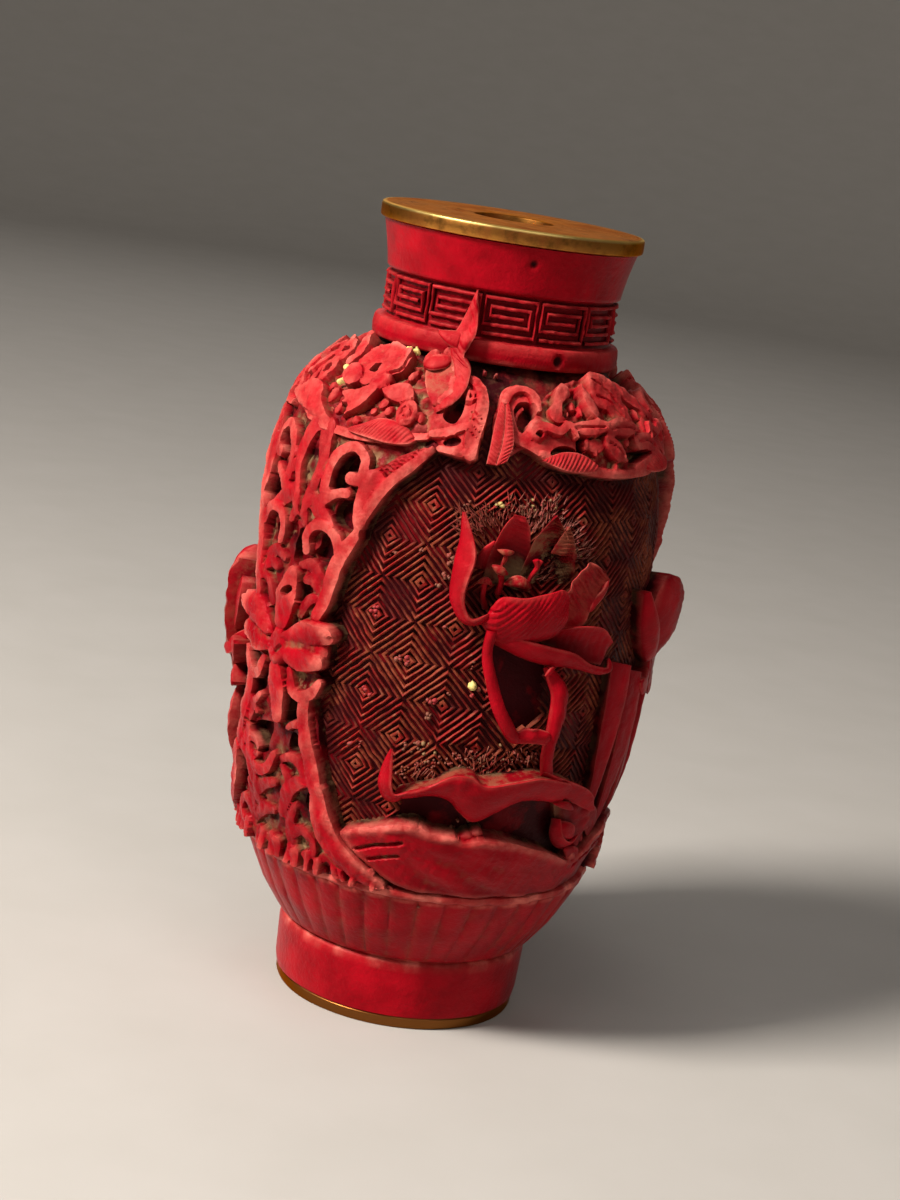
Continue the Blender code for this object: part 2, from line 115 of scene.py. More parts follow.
def grid_faces(rows, columns, round_rows=False, round_columns=False):
    """Four-sided faces over a grid of points stored row after row; rounded ways join end to start."""
    r = np.arange(rows if round_rows else rows - 1)
    c = np.arange(columns if round_columns else columns - 1)
    rr, cc = np.meshgrid(r, c, indexing="ij")
    r2, c2 = (rr + 1) % rows, (cc + 1) % columns
    return np.stack([rr * columns + cc, rr * columns + c2, r2 * columns + c2, r2 * columns + cc],
        -1).reshape(-1, 4)


stage_paint, tree, shader = new_material("matt painted studio board")
grain = add(tree, "TexNoise", {"Scale": 180.0, "Detail": 3.0})
tone = add(tree, "Mix", {6: srgb("#A8A39C"), 7: srgb("#B0ABA5")}, i0=grain)
add(tree, shader, {"Roughness": 0.85}, Base_Color=tone)

sweep = [(0.0, 0.0), (120.0, 0.0), (400.0, 0.0), (700.0, 0.0)]
sweep += [(700.0 + 300.0 * math.sin(a), 300.0 - 300.0 * math.cos(a))
    for a in np.linspace(0.1, math.pi / 2, 12)]
sweep.append((1000.0, 900.0))
turn = np.linspace(0, 2 * math.pi, 96, endpoint=False)
stage_points = np.array([[(r * math.sin(a), -r * math.cos(a), z) for a in turn] for r, z in sweep[1:]])
stage_points = np.concatenate([np.zeros((1, 96, 3)), stage_points])
stage = new_piece("studio_floor", stage_points, grid_faces(len(sweep), 96, round_columns=True), stage_paint)


def soft_panel(name, azimuth, elevation, reach, size, power, color):
    """A square soft light aimed at the middle of the bottle."""
    lamp = bpy.data.lights.new(name, "AREA")
    lamp.shape = "SQUARE"
    lamp.size = size * MM
    lamp.energy = power
    lamp.color = color
    panel = bpy.data.objects.new(name, lamp)
    a, e = math.radians(azimuth), math.radians(elevation)
    middle = Vector((0, 0, 38.0)) * MM
    way = Vector((math.sin(a) * math.cos(e), -math.cos(a) * math.cos(e), math.sin(e)))
    panel.location = middle + way * reach * MM
    panel.rotation_euler = (middle - panel.location).to_track_quat("-Z", "Y").to_euler()
    bpy.context.scene.collection.objects.link(panel)


soft_panel("key panel", -96.0, 42.0, 420.0, 100.0, 3.7, (1.0, 0.955, 0.9))
soft_panel("top panel", -60.0, 76.0, 420.0, 160.0, 0.3, (1.0, 0.97, 0.95))
soft_panel("front fill", -16.0, 42.0, 620.0, 420.0, 0.74, (1.0, 0.97, 0.95))
soft_panel("back rim", 150.0, 30.0, 600.0, 300.0, 0.2, (1.0, 0.98, 0.97))

world = bpy.data.worlds.new("studio air")
bpy.context.scene.world = world
world.use_nodes = True
add(world.node_tree, world.node_tree.nodes["Background"], {"Color": srgb("#F2F0EE"), "Strength": 0.08})

camera_data = bpy.data.cameras.new("camera")
camera_data.sensor_width = 36.0
camera_data.lens = CAMERA_LENS
camera_data.shift_x = CAMERA_SHIFT
camera_data.clip_start = 0.005
camera = bpy.data.objects.new("camera", camera_data)
bpy.context.scene.collection.objects.link(camera)
bpy.context.scene.camera = camera
outward = Vector((math.sin(CAMERA_AZIMUTH), -math.cos(CAMERA_AZIMUTH), 0.0))
ahead = -outward * math.cos(CAMERA_PITCH) - Vector((0, 0, 1)) * math.sin(CAMERA_PITCH)
level = ahead.cross(Vector((0, 0, 1))).normalized()
above = level.cross(ahead)
c, s = math.cos(CAMERA_ROLL), math.sin(CAMERA_ROLL)
axes = Matrix((c * level + s * above, -s * level + c * above, -ahead)).transposed()
eye = (outward * CAMERA_REACH + Vector((0, 0, CAMERA_HEIGHT))) * MM
camera.matrix_world = Matrix.Translation(eye) @ axes.to_4x4()
bpy.context.scene.view_settings.view_transform = "Standard"


# ---- The brass bottle: one hollow vessel of turned brass. A flat mouth disc with a small round hole shows
# on top and the rim of the base shows under the foot; the lacquer hides the thin wall between them.

HEIGHT = 72.0
DISC_THICKNESS = 1.35
DISC_RADIUS = 11.65
MOUTH_RADIUS = 3.5
FOOT_RADIUS = 11.1
BRASS_WALL = 0.8
BRASS = [(1.1, 8.9), (6.0, 9.0), (10.0, 10.6), (15.0, 12.2), (24.0, 13.9), (36.0, 14.5), (47.0, 14.2),
    (53.0, 12.4), (57.0, 9.8), (60.0, 8.0)]


def smooth_curve(stations, heights):
    """The part's own curve through (height, radius) stations, read at many heights."""
    z, r = np.array(stations).T
    last = len(z) - 1
    before = np.maximum(np.arange(last + 1) - 1, 0)
    after = np.minimum(np.arange(last + 1) + 1, last)
    slope = (r[after] - r[before]) / (z[after] - z[before])
    i = np.clip(np.searchsorted(z, heights, side="right") - 1, 0, last - 1)
    span = z[i + 1] - z[i]
    t = np.clip((heights - z[i]) / span, 0, 1)
    return ((2 * t ** 3 - 3 * t ** 2 + 1) * r[i] + (t ** 3 - 2 * t ** 2 + t) * span * slope[i]
        + (3 * t ** 2 - 2 * t ** 3) * r[i + 1] + (t ** 3 - t ** 2) * span * slope[i + 1])


def wobble(a, b, size, seed):
    """A smooth uneven number between about -1 and 1 at each place, in waves of about that size."""
    random = np.random.default_rng(seed)
    total = np.zeros(np.broadcast(a, b).shape)
    for _ in range(7):
        angle, phase = random.uniform(0, 2 * math.pi, 2)
        wave = 2 * math.pi / (size * random.uniform(0.7, 1.5))
        total += np.sin((a * math.cos(angle) + b * math.sin(angle)) * wave + phase)
    return total / 4.0


def turned(name, profile, steps, material, uneven=0.0, seed=1, smooth=40.0, relief=0.0, **values):
    """A closed body turned about the axis from a loop of (radius, height); uneven shakes its points.
    Relief and the kept numbers are given for each point of the loop, or for each step round it too."""
    r, z = (column[:, None] for column in np.array(profile).T)
    a = np.linspace(0, 2 * math.pi, steps, endpoint=False)[None, :]
    shake = uneven * wobble(a * 12.0 + 0 * z, z * 1.3 + 0 * a, 9.0, seed)
    rr = np.maximum(r + shake * (r > 2.0) + relief, 0.0)
    points = np.stack([rr * np.sin(a), -rr * np.cos(a), z + 0 * a], -1)
    faces = grid_faces(len(profile), steps, round_rows=True, round_columns=True)
    values = {key: np.broadcast_to(np.reshape(value, (len(profile), -1)), (len(profile), steps)).ravel()
        for key, value in values.items()}
    return new_piece(name, points, faces, material, smooth, **values)


disc_under = HEIGHT - DISC_THICKNESS
disc_edge = [(8.0, disc_under), (DISC_RADIUS - 0.2, disc_under), (DISC_RADIUS - 0.05, disc_under + 0.08),
    (DISC_RADIUS, disc_under + 0.25), (DISC_RADIUS, HEIGHT - 0.3), (DISC_RADIUS - 0.06, HEIGHT - 0.1),
    (DISC_RADIUS - 0.2, HEIGHT - 0.02), (DISC_RADIUS - 0.45, HEIGHT)]
disc_top = [(r, HEIGHT - (0.05 if 4.6 < r < 5.2 else 0.0))
    for r in (10.5, 9.3, 8.0, 6.8, 5.4, 5.1, 4.7, 4.4)]
mouth = [(MOUTH_RADIUS + 0.15, HEIGHT), (MOUTH_RADIUS + 0.03, HEIGHT - 0.06), (MOUTH_RADIUS, HEIGHT - 0.2),
    (MOUTH_RADIUS, disc_under + 0.05), (MOUTH_RADIUS + 0.1, disc_under)]
wall_heights = np.array([1.1, 3.5, 6.0, 10.0, 15.0, 20.0, 24.0, 30.0, 36.0, 42.0, 47.0, 50.0, 53.0, 55.0,
    57.0, 60.0])
wall_radii = smooth_curve(BRASS, wall_heights)
foot = [(0.02, 0.0), (9.6, 0.0), (FOOT_RADIUS - 0.4, 0.0), (FOOT_RADIUS - 0.12, 0.06), (FOOT_RADIUS, 0.3),
    (FOOT_RADIUS, 0.95), (FOOT_RADIUS - 0.1, 1.1)]
bottle_profile = foot + list(zip(wall_radii, wall_heights)) + disc_edge + disc_top + mouth
bottle_profile += [(wall_radii[-1] - BRASS_WALL, disc_under)]
bottle_profile += [(r - BRASS_WALL, z) for r, z in list(zip(wall_radii, wall_heights))[:1:-1]]
bottle_profile += [(wall_radii[0] - BRASS_WALL, 1.6), (0.02, 1.6)]

TIMES = {"operation": "MULTIPLY"}

# Turned brass, darkened by age: bright where the disc's edge is rubbed, olive where dirt has stayed, with
# fine round tool lines and brown stains on the top.
brass, tree, shader = new_material("aged turned brass")
place = add(tree, "NewGeometry")
split = add(tree, "SeparateXYZ", i0=place)
flat = add(tree, "CombineXYZ", i0=split.outputs[0], i1=split.outputs[1])
radius = add(tree, "VectorMath", {"operation": "LENGTH"}, i0=flat)
stain = add(tree, "TexNoise", {"Scale": 260.0, "Detail": 6.0, "Roughness": 0.62}, Vector=place)
blotch = add(tree, "TexNoise", {"Scale": 900.0, "Detail": 4.0, "Roughness": 0.6}, Vector=place)
stained = add(tree, "MapRange", {"From Min": 0.44, "From Max": 0.66}, Value=stain)
speck = add(tree, "MapRange", {"From Min": 0.5, "From Max": 0.72}, Value=blotch)
warm = add(tree, "Mix", {6: srgb("#B87C38"), 7: srgb("#904A26")}, i0=stained)
dull = add(tree, "Mix", {7: srgb("#6E4A20")}, i0=speck, i6=warm)
low = add(tree, "MapRange", {"From Min": 0.004, "From Max": 0.002}, Value=split.outputs[2])
foot_tone = add(tree, "Mix", {7: srgb("#7A4C24")}, i0=low, i6=dull)
rub = add(tree, "Attribute", {"attribute_name": "rubbed"}).outputs["Fac"]
bright = add(tree, "Mix", {7: srgb("#E6CB7C")}, i0=rub, i6=foot_tone)
matt = add(tree, "MapRange", {"From Min": 0.3, "From Max": 0.75, "To Min": 0.26, "To Max": 0.5}, Value=stain)
# Tool lines lie about 0.12 mm apart on the real disc and are drawn every 0.35 mm, or 18000 radians a metre.
turns = add(tree, "Math", {**TIMES, 1: 18000.0}, i0=radius)
lines = add(tree, "Math", {"operation": "SINE"}, i0=turns)
faint_lines = add(tree, "Math", {**TIMES, 1: 0.25}, i0=lines)
dents = add(tree, "Math", {"operation": "ADD"}, i0=faint_lines, i1=blotch)
bump = add(tree, "Bump", {"Strength": 0.22, "Distance": 0.00012}, Height=dents)
add(tree, shader, {"Metallic": 1.0, "Specular Tint": (1.0, 0.5, 0.28, 1.0)}, Base_Color=bright,
    Roughness=matt, Normal=bump)

rubbed = [1.0 if (r > DISC_RADIUS - 0.3 and z > HEIGHT - 0.25) else 0.0 for r, z in bottle_profile]
bottle = turned("brass_vessel", bottle_profile, 144, brass, uneven=0.02, smooth=32.0, rubbed=rubbed)
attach(bottle, "root")
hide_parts("brass_bottle")


# ---- The lacquer coat: many layers of cinnabar lacquer built up on the brass, turned true, then carved.
# This section is the turned body: foot band, ledge, ground behind the carving, collar, neck and rim band.

WALL_RADIUS = 18.0
GROUND = [(14.7, 15.0), (18.0, 15.7), (24.0, 16.6), (30.0, 17.05), (37.0, 17.2), (45.0, 17.0), (50.0, 16.5),
    (53.5, 15.6), (56.0, 14.2), (58.0, 12.1), (60.3, 9.7)]
STEP = 0.05
HEIGHTS = np.arange(13.0, 61.0, STEP)
GROUND_RADII = smooth_curve(GROUND, HEIGHTS)
GROUND_SLOPES = np.gradient(GROUND_RADII, HEIGHTS)
UNROLLED = np.concatenate([[0.0],
    np.cumsum(STEP * WALL_RADIUS * np.hypot(1, (GROUND_SLOPES[1:] + GROUND_SLOPES[:-1]) / 2)
    / ((GROUND_RADII[1:] + GROUND_RADII[:-1]) / 2))])


def up(z):
    """How far up the unrolled wall a height lies; drawn shapes are kept, and shrink with the wall."""
    return np.interp(z, HEIGHTS, UNROLLED)


def carved_from_coat(piece):
    """What every piece of the coat says: it rides on the root and stands for the coat."""
    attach(piece, "root")
    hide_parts("carved_lacquer_coat")


def on_wall(x, y, lift):
    """Points lift above the ground, square to it, from places (x, y) of the unrolled wall."""
    z = np.interp(y, UNROLLED, HEIGHTS)
    r = np.interp(z, HEIGHTS, GROUND_RADII)
    slope = np.interp(z, HEIGHTS, GROUND_SLOPES)
    tilt = np.hypot(1, slope)
    angle = x / WALL_RADIUS
    rr = r + lift / tilt
    return np.stack([rr * np.sin(angle), -rr * np.cos(angle), z - lift * slope / tilt], -1)


# Cinnabar lacquer, oil-polished once and now dusty. Cut walls are clear deep red; outward faces are a chalky
# salmon, most of all on the shoulders, partly rubbed wear and partly painted light where the lamps fall;
# raised edges are lighter, partly worn and partly a painted highlight; painted shade darkens low places and
# hollows to nearly black-brown, and the hollows hold beige dust. "lift" is the height above the ground in mm
# and sets the painted shade, "hollow" how sunk a place lies among its neighbours, "ridge" how much it stands
# out, "gloss" how clean it is.
cinnabar, tree, shader = new_material("carved cinnabar lacquer")
place = add(tree, "NewGeometry")
where = place.outputs["Position"]
split = add(tree, "SeparateXYZ", i0=where)
lift, hollow, ridge, gloss = (add(tree, "Attribute", {"attribute_name": name}).outputs["Fac"]
    for name in ("lift", "hollow", "ridge", "gloss"))
# the way out from the wall: level on the body, leaning up over the shoulder
lean = add(tree, "MapRange", {"From Min": 0.0485, "From Max": 0.0605, "To Max": 0.0185},
    Value=split.outputs[2])
from_axis = add(tree, "CombineXYZ", i0=split.outputs[0], i1=split.outputs[1], i2=lean)
out_way = add(tree, "VectorMath", {"operation": "NORMALIZE"}, i0=from_axis)
facing = add(tree, "VectorMath", {"operation": "DOT_PRODUCT"}, i0=place.outputs["Normal"], i1=out_way)
face_on = add(tree, "MapRange", {"From Min": 0.45, "From Max": 0.93}, Value=facing)
cloud = add(tree, "TexNoise", {"Scale": 330.0, "Detail": 5.0, "Roughness": 0.6}, Vector=where)
grit = add(tree, "TexNoise", {"Scale": 1900.0, "Detail": 4.0, "Roughness": 0.65}, Vector=where)
chalk = add(tree, "TexNoise", {"Scale": 620.0, "Detail": 6.0, "Roughness": 0.7}, Vector=where)
clouded = add(tree, "MapRange", {"From Min": 0.35, "From Max": 0.65}, Value=cloud)
body = add(tree, "Mix", {6: srgb("#820410"), 7: srgb("#A20617")}, i0=clouded)
# rubbed and lit faces: outward, high up, chalky and not clean; a paler tone, partly wear and partly painted
# light on the faces the lamps reach
chalky = add(tree, "MapRange", {"From Min": 0.32, "From Max": 0.7, "To Min": 0.05, "To Max": 0.9},
    Value=chalk)
clean = add(tree, "MapRange", {"To Min": 0.85, "To Max": 0.06}, Value=gloss)
high_up = add(tree, "MapRange", {"From Min": 0.036, "From Max": 0.052, "To Min": 0.1},
    Value=split.outputs[2])
handled_and_lit = add(tree, "Math", TIMES, i0=face_on, i1=high_up)
chalked = add(tree, "Math", TIMES, i0=chalky, i1=clean)
worn = add(tree, "Math", TIMES, i0=handled_and_lit, i1=chalked)
rubbed_and_lit_tone = add(tree, "Mix", {7: srgb("#B84640")}, i0=worn, i6=body)
# lighter raised edges: partly chipped and worn, partly a painted highlight
edge_chalk_and_highlight = add(tree, "MapRange", {"From Min": 0.38, "From Max": 0.62, "To Min": 0.2, "To Max": 0.85},
    Value=chalk)
edge = add(tree, "Math", TIMES, i0=ridge, i1=edge_chalk_and_highlight)
edge_wear_and_highlight_tone = add(tree, "Mix", {7: srgb("#CC665A")}, i0=edge, i6=rubbed_and_lit_tone)
# painted shade: dark cuts and low ground, darker with lower lift, in deeper hollows and on glossier pieces
deep = add(tree, "MapRange", {"From Min": 1.5, "From Max": 0.45, "To Max": 0.92}, Value=lift)
polished = add(tree, "MapRange", {"From Min": 0.1, "From Max": 0.3, "To Min": 0.5, "To Max": 0.95},
    Value=gloss)
painted_hollow_shade = add(tree, "Math", TIMES, i0=hollow, i1=polished)
patchy = add(tree, "MapRange", {"From Min": 0.38, "From Max": 0.62, "To Min": 0.65, "To Max": 1.5},
    Value=cloud)
painted_low_shade = add(tree, "Math", {**TIMES, "use_clamp": True}, i0=deep, i1=patchy)
dark = add(tree, "Math", {"operation": "MAXIMUM"}, i0=painted_low_shade, i1=painted_hollow_shade)
shade_tone = add(tree, "Mix", {7: srgb("#260306")}, i0=dark, i6=edge_wear_and_highlight_tone)
# dust in the hollows, where they face outwards
settle = add(tree, "MapRange", {"From Min": 0.45, "From Max": 0.57}, Value=chalk)
open_face = add(tree, "MapRange", {"From Max": 0.8, "To Min": 0.25}, Value=facing)
pocket = add(tree, "Math", TIMES, i0=hollow, i1=open_face)
dusty = add(tree, "Math", TIMES, i0=settle, i1=pocket)
dust_tone = add(tree, "Mix", {7: srgb("#886C4C")}, i0=dusty, i6=shade_tone)
matt = add(tree, "MapRange", {"To Min": 0.56, "To Max": 0.3}, Value=gloss)
uneven = add(tree, "MapRange", {"To Min": -0.08, "To Max": 0.12}, Value=cloud)
rough = add(tree, "Math", {"operation": "ADD"}, i0=matt, i1=uneven)
# Knife grain under 0.1 mm is too fine to show and is drawn at about 0.3 mm.
skin = add(tree, "Math", {"operation": "ADD"}, i0=grit, i1=chalk)
bump = add(tree, "Bump", {"Strength": 0.6, "Distance": 0.00014}, Height=skin)
add(tree, shader, {"IOR": 1.5, "Specular IOR Level": 0.16, "Specular Tint": (1.0, 0.24, 0.26, 1.0)},
    Base_Color=dust_tone, Roughness=rough, Normal=bump)

COAT_STEPS = 300
coat_profile = [(FOOT_RADIUS, 1.14), (11.22, 1.16), (11.36, 1.9), (11.5, 5.4), (11.47, 6.1), (11.36, 6.3),
    (11.1, 6.5), (11.1, 6.75), (11.8, 7.4), (13.5, 10.6), (15.1, 13.7), (15.7, 13.85), (15.95, 14.05),
    (16.02, 14.3), (15.95, 14.55), (15.6, 14.75), (15.2, 14.9)]
bands = len(coat_profile)
wall_z = np.arange(15.1, 60.2, 0.5)
coat_profile += [(r, z) for z, r in zip(wall_z, smooth_curve(GROUND, wall_z))]
walls = len(coat_profile)
coat_profile += [(9.7, 60.3), (10.5, 60.33), (10.8, 60.42), (10.92, 60.6), (10.95, 60.95), (10.97, 61.15),
    (10.98, 61.3), (10.97, 61.45), (10.95, 61.65), (10.9, 62.0), (10.78, 62.18), (10.5, 62.24), (9.95, 62.3),
    (9.9, 62.42), (9.92, 66.25), (9.98, 66.34), (10.28, 66.42), (10.4, 66.55)]
necks = len(coat_profile)
coat_profile += [(float(np.interp(z, [66.5, 67.6, 68.7, 69.7, 70.6], [10.38, 10.55, 10.76, 11.0, 11.24])), z)
    for z in np.arange(66.8, 70.5, 0.24)] + [(11.25, 70.58)]
inner_z = np.array([60.0, 57.0, 53.0, 47.0, 36.0, 24.0, 14.0, 6.0, 1.14])
coat_profile += [(8.3, 70.58)] + list(zip(smooth_curve(BRASS, inner_z) + 0.3, inner_z))
# The kept lift sets the painted shade of the turned coat: near-black on the ground behind the carving, dark
# at the collar's foot and on the fret band's ground, none elsewhere.
lifts = np.full(len(coat_profile), 2.0)
lifts[bands:walls] = 0.1
lifts[walls:walls + 2] = 0.3
lifts[walls + 13:walls + 15] = 0.95
gloss_of = np.full(len(coat_profile), 0.85)
gloss_of[walls - 12:walls + 12] = 0.05
# ridge gives the lighter edge tone to the foot's top rim, the ledge and the collar: chipped wear and a
# painted highlight.
edges = np.zeros(len(coat_profile))
edges[[4, 5, 6]] = (0.6, 1.4, 1.4)
edges[11:16] = (0.9, 1.5, 1.6, 1.5, 1.0)
edges[walls + 2:walls + 4] = 0.5
coat_turn = np.linspace(0, 2 * math.pi, COAT_STEPS, endpoint=False)[None, :]
coat_r, coat_z = (column[:, None] for column in np.array(coat_profile).T)
ledge = (coat_z > 13.8) & (coat_z < 14.8) & (coat_r > 15.5)
relief = ledge * (0.06 * np.cos(40 * coat_turn) + 0.14 * wobble(coat_turn * 22, 0 * coat_z, 3.0, 12))
# small pits in the rim band and the collar
for angle, z, wide, deep in ((-28.0, 69.2, 0.42, 0.3), (-9.0, 61.3, 0.46, 0.45), (152.0, 69.0, 0.4, 0.3)):
    across = (np.remainder(coat_turn - math.radians(angle) + math.pi, 2 * math.pi) - math.pi) * coat_r
    relief = relief - (coat_r > 10.3) * deep * np.clip(1.3 - np.hypot(across, coat_z - z) / wide, 0, 1)
chipped = np.clip(1.4 * wobble(coat_turn * 11, 0 * coat_z, 2.4, 31) + 0.5, 0.25, 1)
# The pits in the rim band and the collar get a lower kept lift, so painted shade darkens them.
coat = turned("turned_lacquer_coat", coat_profile, COAT_STEPS, cinnabar, uneven=0.03, seed=5, relief=relief,
    lift=lifts[:, None] + 6 * np.minimum(relief, 0) * (coat_z > 60),
    hollow=0.1 * ((coat_z > 57) & (coat_z < 60.35) & (coat_r > 9)), ridge=edges[:, None] * chipped,
    gloss=gloss_of)
carved_from_coat(coat)


# ---- The diaper ground of the two panels: squares set on their corners, each cut with rings of thin raised
# lines round a small boss, covering the wall behind the lotus. Cut in the lacquer with a fine chisel.

HALF_ROUND = math.pi * WALL_RADIUS
TURN_ROUND = 2 * HALF_ROUND
CELL = TURN_ROUND / 32
RING_SIDES = (2.24, 1.73, 1.22, 0.72)
BOSS_SIDE = 0.27
PATTERN_SHIFT = -1.46
# Where the ground is left plain; there it shows the turned coat's painted shade.
PLAIN_HOLLOWS = [
    [(-8.9, 38.4), (-7.4, 38.2), (-4.5, 37.0), (-3.6, 35.5), (-3.3, 31.0), (-5.6, 31.2), (-6.8, 32.4),
        (-8.3, 35.0)],
    [(-13.4, 23.8), (-11.6, 24.6), (-9.6, 24.4), (-8.1, 23.4), (-5.8, 24.0), (-4.0, 25.0), (0.4, 24.8),
        (3.0, 23.5), (5.4, 19.5), (4.0, 17.4), (2.0, 18.0), (-2.0, 19.4), (-7.0, 20.1), (-12.0, 20.6),
        (-14.4, 20.9), (-14.2, 22.6)],
]
BORDER_STATIONS = [(14.6, 13.2), (15.6, 11.9), (17.0, 10.2), (18.4, 9.0), (20.0, 8.0), (22.0, 7.1),
    (24.0, 6.5), (26.0, 6.0), (28.0, 5.4), (30.0, 4.6), (31.8, 5.6), (33.0, 4.0), (35.0, 4.9), (36.6, 4.6),
    (38.0, 5.1), (39.0, 5.5), (41.0, 5.8), (43.0, 6.2), (43.9, 6.6), (44.6, 7.1), (45.5, 7.4), (47.0, 7.9),
    (48.6, 8.6), (50.0, 9.5), (51.6, 11.0), (52.8, 12.3), (54.6, 14.1)]
BORDER_TURNS = (-28.5, -28.5 + HALF_ROUND)


def half_border(z):
    """Half the width of a border at a height."""
    return np.interp(z, *np.array(BORDER_STATIONS).T)


def from_border(x):
    """How far round the wall a place is from the middle of the nearer border."""
    return np.minimum(*(np.abs((x - middle + HALF_ROUND) % TURN_ROUND - HALF_ROUND)
        for middle in BORDER_TURNS))


def bar(path, half, height, closed=False, shake=0.07, dust_and_shade_fill=0.0, seed=3):
    """A thin raised line along a path of (x, y): five points across at each step, mitred at the corners.
    The fill share lowers the lines that fall to the right by that share, for dust in them; since their tone
    darkens with their height, it also paints shade on them."""
    path = np.asarray(path, dtype=float)
    ahead = np.roll(path, -1, 0) - path
    behind = path - np.roll(path, 1, 0)
    if not closed:
        ahead[-1], behind[0] = behind[-1], ahead[0]
    a = ahead / np.hypot(*ahead.T)[:, None]
    b = behind / np.hypot(*behind.T)[:, None]
    normal = np.stack([-(a + b)[:, 1], (a + b)[:, 0]], -1)
    normal /= np.maximum(np.sum(normal * np.stack([-a[:, 1], a[:, 0]], -1), 1), 0.3)[:, None]
    across = np.array([-1.0, -0.62, 0.0, 0.62, 1.0])
    rise = np.array([-0.12, 0.86, 1.0, 0.86, -0.12])
    push = shake * wobble(path[:, 0], path[:, 1], 1.3, seed)
    places = path[:, None, :] + normal[:, None, :] * (across[None, :, None] * half + push[:, None, None])
    worn = 1.0 + 0.34 * wobble(path[:, 0], path[:, 1], 1.5, seed + 1)
    if dust_and_shade_fill:
        worn += 0.3 * wobble(path[:, 0], path[:, 1], 5.0, 5) - dust_and_shade_fill * (a[:, 0] * a[:, 1] < 0)
    lifts = height * rise[None, :] * np.clip(worn, 0.12, 1.3)[:, None]
    return places, lifts


def dense(corners, step, closed=False):
    """The corners of a path with even points between them."""
    corners = [tuple(p) for p in corners]
    ends = corners[1:] + corners[:1] if closed else corners[1:]
    path = []
    for (x0, y0), (x1, y1) in zip(corners, ends):
        count = max(1, int(round(math.hypot(x1 - x0, y1 - y0) / step)))
        path += [(x0 + (x1 - x0) * i / count, y0 + (y1 - y0) * i / count) for i in range(count)]
    return path if closed else path + [corners[-1]]


def join_bars(bars, place, keep=None):
    """Points and faces of many raised lines; keep says which steps of a line are shown."""
    points, faces, lifts, start = [], [], [], 0
    for places, rise, closed in bars:
        count, wide = places.shape[:2]
        shown = np.ones(count, bool) if keep is None else keep(places[:, 2, 0], places[:, 2, 1])
        shown &= np.roll(shown, -1)
        if not closed:
            shown[-1] = False
        first = np.nonzero(shown)[0]
        if len(first) == 0:
            continue
        after = (first + 1) % count
        a, b = first * wide + start, after * wide + start
        faces += [np.stack([a + k + 1, a + k, b + k, b + k + 1], -1) for k in range(wide - 1)]
        faces.append(np.stack([a, a + wide - 1, b + wide - 1, b], -1))
        points.append(place(places[..., 0], places[..., 1], rise).reshape(-1, 3))
        lifts.append(rise.ravel())
        start += count * wide
    return np.concatenate(points), np.concatenate(faces), np.concatenate(lifts)


def inside_of(x, y, outline):
    """True within a closed outline."""
    inside = np.zeros(x.shape, bool)
    for (ax, ay), (bx, by) in zip(outline, np.roll(outline, -1, 0)):
        if ay == by:
            continue
        crosses = ((ay > y) != (by > y)) & (x < (bx - ax) * (y - ay) / (by - ay) + ax)
        inside ^= crosses
    return inside


def diaper(name, middle, seed):
    """The ground of one panel, centred at that place round the wall."""
    low, high = up(15.2), up(56.0)

    def keep(x, y):
        z = np.interp(y, UNROLLED, HEIGHTS)
        shown = (z > 15.8) & (z < 56.0) & (from_border(x) > half_border(z) - 0.5)
        for hollow in PLAIN_HOLLOWS:
            shown &= ~inside_of(x - middle, y, np.array([(px, up(pz)) for px, pz in hollow]))
        return shown

    def dust_and_shade_fill(x, y):
        # painted shade: the lines are lowered, which darkens their tone, most under the lappets and along
        # the borders as a painted shadow, and by up to half towards the right
        z = np.interp(y, UNROLLED, HEIGHTS)
        edge = np.minimum((52.9 - z) / 2.4, (from_border(x) - half_border(z)) / 2.3)
        return (1 - 0.5 * np.clip((x - middle + 3) / 7, 0, 1)) * np.clip(edge, 0.22, 1)

    bars = []
    count = 0
    for i in range(-6, 8):
        for j in range(0, 14):
            if (i + j) % 2:
                continue
            cx, cy = middle + PATTERN_SHIFT + i * CELL, up(32.0) + (j - 5) * CELL
            if cy < low - CELL or cy > high + CELL:
                continue
            count += 1
            ring = {"half": 0.145, "height": 0.4, "shake": 0.05, "dust_and_shade_fill": 0.45, "seed": seed + count % 9}
            boss = {"half": 0.2, "height": 0.42, "seed": seed}
            for side, step, line in [(side, 0.8, ring) for side in RING_SIDES] + [(BOSS_SIDE, 0.5, boss)]:
                far = side * math.sqrt(2.0)
                corners = [(cx + far, cy), (cx, cy + far), (cx - far, cy), (cx, cy - far)]
                places, rise = bar(dense(corners, step, closed=True), closed=True, **line)
                bars.append((places, rise * dust_and_shade_fill(places[:, 2:3, 0], places[:, 2:3, 1]), True))
    points, faces, lifts = join_bars(bars, on_wall, keep)
    carved_from_coat(new_piece(name, points, faces, ground_lacquer, 50.0, lift=lifts))


